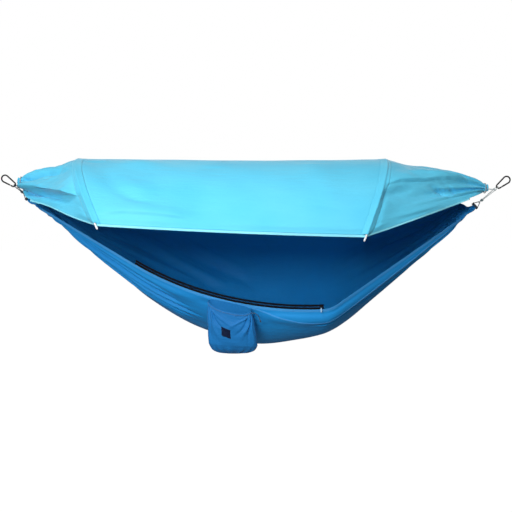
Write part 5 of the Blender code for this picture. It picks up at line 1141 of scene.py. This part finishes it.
def row_piece(name, runs, pitch, size, material):
    """Stitches or teeth along lines; each run is its points and the way each piece stands up."""
    points, edges, ups = [], [], []
    for line, up in runs:
        base = len(points)
        points += [tuple(point) for point in line]
        ups += [tuple(vector) for vector in up]
        edges += [(base + k, base + k + 1) for k in range(len(line) - 1)]
    guide = bpy.data.meshes.new(name)
    guide.from_pydata(points, edges, [])
    mark = guide.attributes.new("across", "FLOAT_VECTOR", "POINT")
    mark.data.foreach_set("vector", np.asarray(ups, float).ravel())
    item = bpy.data.objects.new(name, guide)
    bpy.context.collection.objects.link(item)
    maker = item.modifiers.new("row", "NODES")
    maker.node_group = row_of_pieces
    named = {face.name: face.identifier for face in row_of_pieces.interface.items_tree
        if face.in_out == "INPUT"}
    for label, value in zip(("Pitch", "Length", "Width", "Height"), (pitch, *size)):
        maker[named[label]] = value
    maker[named["Material"]] = material
    made = bpy.data.meshes.new_from_object(item.evaluated_get(bpy.context.evaluated_depsgraph_get()))
    item.modifiers.clear()
    item.data = made
    made.shade_smooth()
    if not made.materials:
        made.materials.append(material)
    return item


def thread(name, colour):
    light = tuple(min(1.0, part * 1.7) for part in colour)
    return finish(name, (colour, light), (0.55, 0.0), (900.0, 900.0, 900.0, 2.0), (0.3, 0.0002),
        Sheen_Weight=0.2)


bed_thread = thread("bed_thread", (0.01, 0.12, 0.34))


def on_cloth(grid, ways, rows, path):
    """Points and outward normals of the bed's grid along a path of ways and rows."""
    normals = -sheet_normals(grid)
    found, ups = [], []
    for way, row in path:
        i = np.interp(way, ways, np.arange(len(ways)))
        j = np.interp(row, rows, np.arange(len(rows)))
        a, b = min(int(i), len(ways) - 2), min(int(j), len(rows) - 2)
        s, t = i - a, j - b
        for source, target in ((grid, found), (normals, ups)):
            target.append((source[a, b] * (1 - t) + source[a, b + 1] * t) * (1 - s)
                + (source[a + 1, b] * (1 - t) + source[a + 1, b + 1] * t) * s)
    return np.array(found), unit(np.array(ups))


hem_ways = np.linspace(0.084, SPAN - 0.084, 420)
edges, ups, outs = (np.array(part) for part in zip(*[front_edge(way) for way in hem_ways]))
rears = np.array([rear_edge(way) for way in hem_ways])
even = np.ones((len(hem_ways), 1))
hem_stitches, hems = [], []
for side, middles, wides, thicks in (("front", edges + ups * HEM_MIDDLE, ups, outs),
        ("rear", rears + REAR_UP * 0.0073, even * REAR_UP, even * REAR_OUT)):
    middles = middles + thicks * (0.0004 * wander(hem_ways * 6.0, 61))[:, None]
    hem = band_piece(f"bed_hem_{side}", middles, wides, thicks, HEM_WIDTH, HEM_THICKNESS, hem_cloth_painted_highlight)
    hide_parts(f"bed_{side}_hem")
    hems.append(hem)
    for offset in (-0.0046, 0.0046):
        hem_stitches.append((middles + wides * offset + thicks * STITCH_RISE, thicks))
SEAM_ROUTE = np.array(((1.19, 0.001), (1.26, 0.012), (1.34, 0.028), (1.42, 0.042), (1.49, 0.05),
    (1.56, 0.05), (1.68, 0.044), (1.86, 0.04), (2.05, 0.036), (2.2, 0.034)))
seam_ways = np.linspace(SEAM_ROUTE[0, 0], SEAM_ROUTE[-1, 0], 300)
SEAM_WIDTH, SEAM_THICKNESS = 0.0075, 0.0022
seam_path = [(way, np.interp(way, SEAM_ROUTE[:, 0], SEAM_ROUTE[:, 1])) for way in seam_ways]
seam_line, seam_up = on_cloth(bed_grid, bed_ways, bed_rows, seam_path)
seam_side = unit(np.cross(seam_up, unit(np.gradient(seam_line, axis=0))))
seam = band_piece("bed_seam", seam_line + seam_up * 0.0004, seam_side, seam_up, SEAM_WIDTH, SEAM_THICKNESS,
    hem_cloth_painted_highlight)
hems.append(seam)
for offset in (-0.0026, 0.0026):
    hem_stitches.append((seam_line + seam_up * 0.0013 + seam_side * offset, seam_up))
stitching = row_piece("bed_stitching", hem_stitches, STITCH_PITCH, STITCH_SIZE, bed_thread)
for piece in hems + [stitching]:
    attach(piece, "hammock")


# The canopy's two hems
# Both long edges are rolled 12 mm wide in the canopy's own nylon and sewn with two rows of stitches. The
# rolled hem is given a paler blue than the canopy as a painted highlight along the edge.
canopy_thread = thread("canopy_thread", (0.1, 0.58, 0.83))
# The hem's paler blue is a painted highlight along the canopy's edges.
canopy_hem_cloth_painted_highlight = nylon("canopy_hem_cloth_painted_highlight", (0.26, 0.78, 0.95), (0.36, 0.85, 0.98),
    (0.18, 0.69, 0.9), 0.25)
apart = np.diff(canopy_ways, prepend=-1.0) > 0
inner = [i for i, way in enumerate(canopy_ways) if 0.04 < way < 2.31 and apart[i]]
canopy_edge_stitches, canopy_hems, canopy_bands = [], [], {}
for side, edge, near in (("front", 0, 4), ("rear", -1, -5)):
    line = canopy_grid[inner, edge]
    wide = unit(line - canopy_grid[inner, near])
    thick = unit(np.cross(np.gradient(line, axis=0), wide))
    if np.mean(thick[:, 1]) * (-1 if side == "front" else 1) < 0:
        thick = -thick
    middle = line + wide * 0.0063
    hem = band_piece(f"canopy_hem_{side}", middle, wide, thick, 0.012, HEM_THICKNESS, canopy_hem_cloth_painted_highlight)
    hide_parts(f"canopy_{side}_hem")
    canopy_hems.append(hem)
    canopy_bands[side] = (canopy_ways[inner], middle, wide)
    for offset in (-0.004, 0.004):
        canopy_edge_stitches.append((middle + wide * offset + thick * STITCH_RISE, thick))


# The two pole sleeves
# A strip of the canopy's nylon is sewn down along both sides of each pole and makes the tunnel that
# the pole is pushed through.
SLEEVE_HALF, TUNNEL_RADIUS, SLEEVE_CUT = 0.026, 0.0064, 0.062


def sleeve_grid(bow, way):
    shares = np.linspace(-1.0, 1.0, 150)
    at = {}
    for key, place in (("near", way - SLEEVE_HALF), ("far", way + SLEEVE_HALF)):
        i = np.interp(place, canopy_ways, np.arange(len(canopy_ways)))
        a = int(i)
        column = canopy_grid[a] * (1 - (i - a)) + canopy_grid[a + 1] * (i - a)
        at[key] = points_at(shares, canopy_rows, column)
    out, poles = bow.direction(shares), bow.pole(shares)
    square = unit(np.cross(unit(np.gradient(poles, axis=0)), out))
    if np.dot(at["far"][75] - at["near"][75], square[75]) < 0:
        square = -square
    pucker = 1.0 + 0.06 * np.sin(shares * 95.0) * wander(shares, 71)
    rims = ((0.0, 0.0007), (0.2, 0.0016), (0.45, 0.0036))
    rows = [at["near"] * (1 - part) + poles * part + out * lift for part, lift in rims]
    for turn in np.linspace(math.pi * 0.8, math.pi * 0.2, 9):
        reach = TUNNEL_RADIUS * (pucker if 0.9 < turn < 2.2 else np.ones_like(shares))[:, None]
        rows.append(poles + reach * (square * math.cos(turn) + out * math.sin(turn)))
    rows += [at["far"] * (1 - part) + poles * part + out * lift for part, lift in rims[::-1]]
    return shares, np.stack(rows, axis=1)


sleeves = []
for side, bow, way in (("left", left_bow, LEFT_TIP_WAY), ("right", right_bow, RIGHT_TIP_WAY)):
    shares, grid = sleeve_grid(bow, way)
    flat = flat_map(lengths_of(grid[:, 6]), np.linspace(0.0, SLEEVE_CUT, grid.shape[1]))
    sleeve = cloth_piece(f"{side}_sleeve", grid, flat, canopy_nylon)
    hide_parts(f"{side}_pole_sleeve")
    sleeves.append(sleeve)
    for edge, near in ((0, 1), (-1, -2)):
        line = grid[:, edge] * 0.55 + grid[:, near] * 0.45 + bow.direction(shares) * 0.0005
        canopy_edge_stitches.append((line, bow.direction(shares)))
canopy_stitching = row_piece("canopy_stitching", canopy_edge_stitches, STITCH_PITCH, STITCH_SIZE,
    canopy_thread)
for piece in canopy_hems + sleeves + [canopy_stitching]:
    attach(piece, "hammock")


# The poles
# Each bow is four 356 mm fibreglass tubes over an elastic, joined by steel ferrules, with a white
# moulded tip at each end. The tubes and ferrules lie hidden in the sleeves.
fibreglass = finish("pole_fibreglass", ((0.012, 0.012, 0.014), (0.045, 0.045, 0.048)), (0.4, 0.0),
    (120.0, 900.0, 900.0, 3.0), (0.2, 0.0003), Coat_Weight=0.4, Coat_Roughness=0.25)
elastic_braid = finish("shock_cord_braid", ((0.5, 0.51, 0.52), (0.8, 0.81, 0.82)), (0.8, 0.0),
    (1400.0, 1400.0, 1400.0, 2.0), (0.5, 0.0004))
tip_plastic = finish("tip_plastic", ((0.8, 0.83, 0.84), (0.58, 0.61, 0.62)), (0.36, 0.14),
    (700.0, 700.0, 700.0, 3.0), (0.12, 0.0003), (60.0, 5.0, 0.7, 0.6, 0.45, 0.0), Specular_IOR_Level=0.45)


def turned_piece(name, profile, origin, axis, material, sides=28):
    """A turned piece from its ways along the axis and radii."""
    side = unit(np.cross(axis, (0.31, 0.83, 0.46)))
    ring = round_ways(np.linspace(0.0, math.tau, sides, endpoint=False), side, np.cross(axis, side))
    points = np.concatenate([origin + axis * way + ring * radius for way, radius in profile])
    return link_mesh(name, points, ring_faces(len(profile), sides), material)


TIP_PROFILE = ((0.0003, 0.004), (0.0006, 0.0046), (0.0016, 0.00475), (0.01, 0.00475), (0.0108, 0.0042),
    (0.0116, 0.0042), (0.0124, 0.00475), (0.029, 0.00475), (0.0318, 0.0046), (0.034, 0.004),
    (0.0353, 0.0028), (0.0359, 0.0014), (0.036, 0.0003))
for side, bow in (("left", left_bow), ("right", right_bow)):
    for word, share in (("front", -1.0), ("rear", 1.0)):
        end = bow.pole(np.array([share]))[0]
        turn = bow.half_angle * share
        away = (ACROSS * math.cos(turn) - bow.upright * math.sin(turn)) * share
        tip = turned_piece(f"{side}_{word}_tip", TIP_PROFILE, end, away, tip_plastic)
        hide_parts(f"{side}_{word}_pole_tip")
        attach(tip, "hammock")
    hidden = {"elastic": elastic_braid}
    hidden.update({f"section_{k}": fibreglass for k in range(1, 5)})
    hidden.update({f"ferrule_{k}": small_steel for k in range(1, 4)})
    for node, material in hidden.items():
        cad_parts[f"{side}_pole_{node}"].material_slots[0].material = material


# The two nets
# Fine dark mosquito netting fills the gap between the canopy's hem and the bed's hem or the zip. It is
# knitted polyester, stretched between its sewn edges, with a slight billow. Its threads are painted blue as
# painted light from the bed's lit inside showing through.
netting = Dye("netting", (0.001, 0.009, 0.03), 0.85, Specular_IOR_Level=0.03)
along, across, _ = netting.parts(netting.cloth_place())
warp, weft = along.wave(0.0026), across.wave(0.0026)
hole = ((warp * warp) > 0.014) * ((weft * weft) > 0.014)
netting.feed("Alpha", 1.0 - hole * 0.95)
# The threads' blue is painted light: it stands in for the lit inside of the bed seen through the dark mesh.
netting.feed("Base Color", netting.mixed(hole, (0.001, 0.08, 0.28), (0.0016, 0.1, 0.34)))
netting.relief(warp * weft, 0.3, 0.0004)

NET_BELOW_BAND, NET_ABOVE_ZIP, NET_ABOVE_REAR = -0.0134, 0.0146, 0.0155
NET_BILLOW, NET_SLACK, NET_THICKNESS = 0.012, 0.0035, 0.0002
net_ways = np.linspace(0.07, 2.245, 250)
for side, sign in (("front", -1), ("rear", 1)):
    ways, middle, wide = canopy_bands[side]
    upper = points_at(net_ways, ways, middle + wide * 0.0072)
    lower = []
    for way in net_ways:
        if side == "front":
            edge, up, _ = front_edge(way)
            zipped = float(between(way, ARC_LEFT_WAY - 0.002, ARC_LEFT_WAY + 0.012, ARC_RIGHT_WAY - 0.012,
                ARC_RIGHT_WAY + 0.002))
            lower.append(edge + up * (NET_BELOW_BAND + (NET_ABOVE_ZIP - NET_BELOW_BAND) * zipped))
        else:
            lower.append(rear_edge(way) + REAR_UP * NET_ABOVE_REAR)
    lower = np.array(lower)
    shares = np.linspace(0.0, 1.0, 26)
    grid = upper[:, None] * (1 - shares)[None, :, None] + lower[:, None] * shares[None, :, None]
    billow = NET_BILLOW * 4 * shares * (1 - shares)
    if side == "rear":
        grid = grid - UPWARD * billow[None, :, None]
    slack = NET_SLACK * np.array([[wander(way * 1.3 + share * 0.8, 81) for share in shares]
        for way in net_ways])
    grid = grid + sheet_normals(grid) * (slack * (4 * shares * (1 - shares))[None, :])[:, :, None]
    height = np.linalg.norm(upper - lower, axis=1)
    flat = np.stack([np.broadcast_to(net_ways[:, None], (len(net_ways), 26)),
        height[:, None] * shares[None, :]], axis=-1)
    net = cloth_piece(f"net_{side}", grid, flat, netting.material, NET_THICKNESS)
    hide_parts(f"{side}_net")
    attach(net, "hammock")


# The zip
# A black coil zip closes the bottom of the front net, along the bed's front edge: two woven tapes,
# two rows of nylon coil, metal stops, and a slider whose pull is a pale-blue tab on a cord.
ZIP_LEFT_ANGLE, ZIP_RIGHT_ANGLE = -0.575504, math.radians(4.2)
TAPE_MIDDLE, TAPE_WIDTH, TAPE_THICKNESS = 0.0083, 0.011, 0.0012
TOOTH_PITCH, TOOTH_SIZE = 0.0024, (0.0017, 0.0025, 0.0022)


def zip_line(start, stop, count, up, out):
    """Points, up and outward directions along the front arc, by angle from its lowest point."""
    points, ups, outs = [], [], []
    for angle in np.linspace(start, stop, count):
        inward = inward_at(angle)
        up_band, outward = band_ways(inward)
        points.append(ARC_CENTRE - inward * ARC_RADIUS + up_band * up + outward * out)
        ups.append(up_band)
        outs.append(outward)
    return np.array(points), np.array(ups), np.array(outs)


tape_cloth = Dye("zip_tape_cloth", (0.0035, 0.004, 0.0055), 0.85, Specular_IOR_Level=0.08)
along, across, _ = tape_cloth.parts(tape_cloth.cloth_place())
ribs = across.wave(0.0011) * 0.6 + along.wave(0.0008) * 0.4
tape_cloth.feed("Base Color", tape_cloth.mixed(ribs * 0.5 + 0.5, (0.0025, 0.003, 0.0045),
    (0.007, 0.0075, 0.0095)))
tape_cloth.relief(ribs, 0.4, 0.0003)
coil_nylon = finish("coil_nylon", ((0.004, 0.0042, 0.0055), (0.004, 0.0042, 0.0055)), (0.26, 0.14),
    (500.0, 500.0, 500.0, 2.0), (0.1, 0.0002), Specular_IOR_Level=0.28)

for name, middle in (("lower", -TAPE_MIDDLE), ("upper", TAPE_MIDDLE)):
    points, ups, outs = zip_line(ZIP_LEFT_ANGLE, ZIP_RIGHT_ANGLE, 240, middle, 0.0)
    tape = band_piece(f"tape_{name}", points, ups, outs, TAPE_WIDTH, TAPE_THICKNESS, tape_cloth.material)
    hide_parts(f"zip_{name}_tape")
    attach(tape, "hammock")
stop_turn = 0.005 / ARC_RADIUS
tooth_runs = []
for up in (-0.00125, 0.00125):
    shift = math.copysign(0.0006 / ARC_RADIUS, up)
    points, ups, outs = zip_line(ZIP_LEFT_ANGLE + 1.6 * stop_turn + shift,
        ZIP_RIGHT_ANGLE - 1.6 * stop_turn + shift, 240, up, 0.0)
    tooth_runs.append((points, outs))
teeth = row_piece("coil_teeth", tooth_runs, TOOTH_PITCH, TOOTH_SIZE, coil_nylon)
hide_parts("zip_teeth")
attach(teeth, "hammock")

zip_metal = finish("zip_metal", ((0.03, 0.031, 0.035), (0.22, 0.22, 0.22)), (0.28, 0.16),
    (350.0, 350.0, 350.0, 4.0), (0.1, 0.0003), (120.0, 4.0, 0.7, 0.62, 0.6, 0.0), Metallic=0.85)
for side, angle in (("left", ZIP_LEFT_ANGLE + stop_turn), ("right", ZIP_RIGHT_ANGLE - stop_turn)):
    points, ups, outs = zip_line(angle, angle + 1e-4, 2, 0.0, 0.0)
    run = unit(points[1] - points[0])
    block, faces = slab_parts(stadium(0.0048, 0.0046, 8), points[0], (run, ups[0], outs[0]), 0.0034, 0.0008)
    stop = link_mesh(f"{side}_stop", block, faces, zip_metal)
    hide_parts(f"zip_{side}_stop")
    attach(stop, "hammock")

WING = np.array(((-0.006, -0.0028), (-0.0052, -0.0044), (-0.0034, -0.0052), (0.0008, -0.0052),
    (0.0034, -0.0046), (0.0056, -0.0034), (0.006, -0.0022), (0.006, 0.0022), (0.0056, 0.0034),
    (0.0034, 0.0046), (0.0008, 0.0052), (-0.0034, 0.0052), (-0.0052, 0.0044), (-0.006, 0.0028)))
SLIDER_ANGLE = 0.064278
points, ups, outs = zip_line(SLIDER_ANGLE, SLIDER_ANGLE + 1e-4, 2, 0.0, 0.0)
place, run, up, out = points[0], unit(points[1] - points[0]), ups[0], outs[0]
for name, node, level in (("slider_front", "zip_slider", 0.00195),
        ("slider_back", "zip_slider_back", -0.00195)):
    more, faces = slab_parts(WING, place + out * level, (run, up, out), 0.0011, 0.0003)
    if name == "slider_front":
        bridge = smooth_path([place + out * 0.0019 - run * 0.0048, place + out * 0.0047 - run * 0.0046,
            place + out * 0.0049, place + out * 0.0047 + run * 0.0046, place + out * 0.0019 + run * 0.0048],
            0.0007)
        bar_points, bar_faces, _ = tube_parts(bridge, 0.0006, 10, hint=up, base=len(more))
        more, faces = np.concatenate([more, bar_points]), faces + bar_faces
    wing = link_mesh(name, more, faces, zip_metal)
    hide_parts(node)
    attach(wing, "slider")

pull_plastic = finish("pull_plastic", ((0.24, 0.46, 0.7), (0.42, 0.62, 0.8)), (0.38, 0.16),
    (260.0, 260.0, 260.0, 4.0), (0.15, 0.0003), patchy=0.6, Specular_IOR_Level=0.5)
TAB_LENGTH, TAB_WIDTH, LOOP_REACH = 0.02, 0.007, 0.005
bar = place + out * 0.0049
down = unit(-UPWARD + run * np.dot(UPWARD, run))
face = np.cross(run, down)
outline = stadium(TAB_LENGTH, TAB_WIDTH)
waist = 1.0 - 0.22 * np.exp(-(outline[:, 0] / 0.0042) ** 2)
outline = np.stack([outline[:, 0], outline[:, 1] * waist], axis=1)
tab, faces = slab_parts(outline, bar + down * (LOOP_REACH + TAB_LENGTH / 2), (down, run, -face),
    0.0022, 0.0006)
loop = open_eye(bar - down * 0.0014, down, face, 0.0014, 0.0014 + LOOP_REACH + 0.0022, 0.00054, 16)
loop_points, loop_faces, _ = tube_parts(loop, 0.0005, 8, hint=run, base=len(tab))
pull = link_mesh("slider_pull", np.concatenate([tab, loop_points]), faces + loop_faces, pull_plastic)
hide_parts("zip_pull")
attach(pull, "pull")


# The stuff pouch
# The hammock packs into this drawcord bag of thin blue nylon. It hangs empty from the front hem by
# its rear mouth edge; its front edge sags between the corners and folds run down from them.
POUCH_TOP = np.array((1.202135, -0.370704, -0.61447))
POUCH_HEIGHT, POUCH_SAG = 0.262, 0.042
MOUTH_WIDTH, MOUTH_DEPTH, BAG_WIDER, BAG_DEEPER = 0.208, 0.046, 0.032, 0.026
BAG_AROUND, BAG_DOWN = 0.56, 0.27
POUCH_SLOPE = (-0.195294 / 0.970238, -0.143171 / 0.970238)
POUCH_WIDER = np.array(((0.0, 0.0), (0.12, 0.35), (0.3, 0.8), (0.6, 1.0), (0.8, 0.98), (0.9, 0.8),
    (0.96, 0.5), (1.0, 0.1)))
POUCH_DEEPER = np.array(((0.0, 0.0), (0.15, 0.3), (0.45, 0.9), (0.7, 1.0), (0.86, 0.8), (0.95, 0.45),
    (1.0, 0.08)))
POUCH_CLOSING = np.array(((0.8, 1.0), (0.9, 0.9), (0.96, 0.7), (1.0, 0.3)))
pouch_nylon = nylon("pouch_nylon", (0.012, 0.17, 0.47), (0.024, 0.24, 0.57), (0.005, 0.115, 0.36), 0.08)


def pouch_surface(turns, levels):
    """The bag's wall without its folds: a grid of turns by levels."""
    turn, level = np.meshgrid(turns, levels, indexing="ij")
    half_wide = (MOUTH_WIDTH + BAG_WIDER * smooth_through(POUCH_WIDER, level)) / 2
    half_deep = (MOUTH_DEPTH + BAG_DEEPER * smooth_through(POUCH_DEEPER, level)) / 2
    closing = np.where(level > 0.8, smooth_through(POUCH_CLOSING, level), 1.0)
    half_wide, half_deep = half_wide * closing, half_deep * closing
    side, front = np.cos(turn), np.sin(turn)
    across = half_wide * np.sign(side) * np.abs(side) ** 0.8
    depth = half_deep * np.sign(front) * np.abs(front) ** 0.8
    top = POUCH_SLOPE[0] * across - POUCH_SAG * (0.5 + 0.5 * front) ** 2 * (1 - level)
    back = POUCH_SLOPE[1] * across * (1 - level) - half_deep - depth + 0.05 * level
    return POUCH_TOP + np.stack([across + 0.02 * level, back, top * (1 - level) - POUCH_HEIGHT * level],
        axis=-1)


# Each fold: from which corner, towards where across and down the front, in metres; width and depth.
POUCH_FOLDS = ((1, -0.03, 0.105, 0.0075, 0.005), (1, 0.012, 0.15, 0.0065, -0.005),
    (1, 0.04, 0.175, 0.007, 0.0055), (1, 0.066, 0.2, 0.006, -0.005), (1, 0.09, 0.225, 0.006, 0.0045),
    (-1, 0.02, 0.095, 0.0085, 0.0045), (-1, -0.02, 0.14, 0.007, -0.005), (-1, -0.058, 0.18, 0.007, 0.0045),
    (-1, -0.088, 0.215, 0.0065, -0.004))


def pouch_relief(turns, levels):
    """How far the bag's cloth stands out: folds from the mouth's corners, gathers at mouth and bottom."""
    turn, level = np.meshgrid(turns, levels, indexing="ij")
    side, front = np.cos(turn), np.sin(turn)
    across = 0.11 * np.sign(side) * np.abs(side) ** 0.8
    down = POUCH_HEIGHT * level - 0.02 * (1 - side ** 2) * (1 - level)
    facing = ease(front, 0.05, 0.45)
    total = np.zeros_like(level)
    for corner, to_x, to_down, width, depth in POUCH_FOLDS:
        start = np.array((corner * MOUTH_WIDTH / 2, 0.004))
        way = np.array((to_x, to_down)) - start
        reach = np.linalg.norm(way)
        way = way / reach
        ahead = (across - start[0]) * way[0] + (down - start[1]) * way[1]
        bend = 0.004 * np.sin(ahead * 38.0 + to_x * 50)
        aside = (across - start[0]) * way[1] - (down - start[1]) * way[0] + bend
        spread = width * (0.35 + 0.9 * np.clip(ahead / reach, 0.0, 1.2))
        strength = between(ahead, 0.004, 0.035, reach * 0.55, reach * 1.1)
        total = total + facing * depth * strength * bell(aside, spread)
    mouth = bell(level - 0.045, 0.03)
    total = total + 0.0011 * mouth * np.sin(46 * turn + 1.5 * wander(turn / math.tau, 91))
    bottom = ease(level, 0.78, 0.93)
    total = total + 0.0022 * bottom * (1 - ease(level, 0.96, 1.0)) * np.sin(15 * turn + 1.2)
    loose = 0.0022 * ease(level, 0.1, 0.4) * (1 - bottom)
    total = total + loose * wander(turn / math.tau * 1.7 + level * 1.1, 93)
    back = ease(-front, 0.1, 0.5)
    total = total + 0.0018 * back * np.sin(6 * turn + 5 * level) * ease(level, 0.15, 0.5) * (1 - bottom)
    return total * ease(level, 0.0, 0.012)


pouch_turns = np.linspace(0.0, math.tau, 181)
pouch_levels = np.concatenate([np.linspace(0.0, 0.12, 16)[:-1], np.linspace(0.12, 1.0, 80)])
bag_grid = pouch_surface(pouch_turns, pouch_levels)
bag_out = sheet_normals(bag_grid)
bag_out[0] = bag_out[-1] = unit(bag_out[0] + bag_out[-1])
bag_grid = bag_grid + bag_out * pouch_relief(pouch_turns, pouch_levels)[:, :, None]
bag_flat = flat_map(pouch_turns / math.tau * BAG_AROUND, pouch_levels * BAG_DOWN).reshape(-1, 2)
columns, rows = bag_grid.shape[:2]
bag_faces = grid_faces(columns, rows)
bottom_loop = [column * rows + rows - 1 for column in range(columns - 1)]
maps = bag_flat[bag_faces.ravel()].tolist() + [(0.0, BAG_DOWN)] * len(bottom_loop)
bag = thicken(link_mesh("pouch_cloth", bag_grid[:-1].reshape(-1, 3),
    (bag_faces % ((columns - 1) * rows)).tolist() + [bottom_loop], pouch_nylon, maps), 0.0008)
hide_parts("pouch_bag")
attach(bag, "pouch")

cord_level = int(np.searchsorted(pouch_levels, 0.039))
front_turns = [i for i, turn in enumerate(pouch_turns) if turn <= math.pi][::-1]
draw_path = np.array([bag_grid[i, cord_level] + bag_out[i, cord_level] * 0.0024 for i in front_turns])
draw_knot = np.array((1.31493, -0.40897, -0.66187))
draw_path = smooth_path(np.concatenate([draw_path[:-6:5], draw_path[-6:-5], [draw_knot]]), 0.003)
knot_core = winding(draw_knot, np.array((0.2, 0.0, 0.98)), 0.0024, 2.2, 0.0024)
blue_braid = braided("blue_braid", (0.012, 0.09, 0.26), (0.04, 0.2, 0.46), 0.004)
drawcord = cord_piece("drawcord", [(draw_path, TAIL_DIAMETER / 2, 12, False),
    (knot_core, KNOT_CORD, 10, False)], blue_braid)
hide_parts("pouch_drawstring")
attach(drawcord, "pouch")

pouch_thread = thread("pouch_thread", (0.012, 0.12, 0.32))
pouch_rows = []
for level, turns in ((0.012, 91), (0.082, 181)):
    j = int(np.searchsorted(pouch_levels, level))
    pouch_rows.append((bag_grid[:turns, j] + bag_out[:turns, j] * 0.0006, bag_out[:turns, j]))
low = np.interp(np.linspace(0.09, 0.93, 70), pouch_levels, np.arange(rows)).astype(int)
for column in (2, 92):
    pouch_rows.append((bag_grid[column, low] + bag_out[column, low] * 0.0006, bag_out[column, low]))
pouch_stitching = row_piece("pouch_stitching", pouch_rows, STITCH_PITCH, (0.0032, 0.0006, 0.0005),
    pouch_thread)
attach(pouch_stitching, "pouch")


# The pouch's label
# A woven patch, 46 mm square, is sewn on the front of the bag by its four edges. It is left bare.
label_weave = Dye("label_weave", (0.002, 0.007, 0.03), 0.66, Specular_IOR_Level=0.15)
along, across, _ = label_weave.parts(label_weave.cloth_place())
satin = along.wave(0.0009) * 0.5 + across.wave(0.0014) * 0.5
label_weave.feed("Base Color", label_weave.mixed(satin * 0.5 + 0.5, (0.0015, 0.006, 0.026),
    (0.004, 0.013, 0.048)))
label_weave.relief(satin, 0.5, 0.0003)
LABEL_SIDE, LABEL_STEPS = 0.046, 23
LABEL_MIDDLE = np.array((1.185, -0.758))
LABEL_ACROSS = np.array((0.044, -0.0165))
LABEL_DOWN = np.array((0.002, -0.044))
spots = bag_grid[2:90].reshape(-1, 3)
spot_outs = bag_out[2:90].reshape(-1, 3)


def on_pouch(x, z):
    """The bag's front surface at a place seen from the front, and its outward direction."""
    away = (spots[:, 0] - x) ** 2 + (spots[:, 2] - z) ** 2
    near = np.argsort(away)[:6]
    weight = 1.0 / (away[near] + 1e-6)
    weight = weight / weight.sum()
    point = (spots[near] * weight[:, None]).sum(axis=0)
    return np.array((x, point[1], z)), unit((spot_outs[near] * weight[:, None]).sum(axis=0))


label_steps = np.linspace(-0.5, 0.5, LABEL_STEPS)
label_spots = [[on_pouch(*(LABEL_MIDDLE + LABEL_ACROSS * u + LABEL_DOWN * v)) for v in label_steps]
    for u in label_steps]
label_grid, label_out = np.moveaxis(np.array(label_spots), 2, 0)
for _ in range(6):
    label_grid[1:-1, 1:-1, 1] = (label_grid[:-2, 1:-1, 1] + label_grid[2:, 1:-1, 1]
        + label_grid[1:-1, :-2, 1] + label_grid[1:-1, 2:, 1]) / 4
label_grid = label_grid + label_out * 0.0016
label_lengths = np.linspace(0, LABEL_SIDE, LABEL_STEPS)
label = cloth_piece("label_patch", label_grid, flat_map(label_lengths, label_lengths),
    label_weave.material, 0.0007)
inside = slice(1, -1)
rim = [(label_grid[at] + label_out[at] * 0.0005, label_out[at])
    for at in ((inside, 1), (inside, -2), (1, inside), (-2, inside))]
label_thread = thread("label_thread", (0.03, 0.06, 0.12))
label_stitching = row_piece("label_stitching", rim, 0.003, (0.0022, 0.0005, 0.0004), label_thread)
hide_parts("pouch_label")
for piece in (label, label_stitching):
    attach(piece, "pouch")
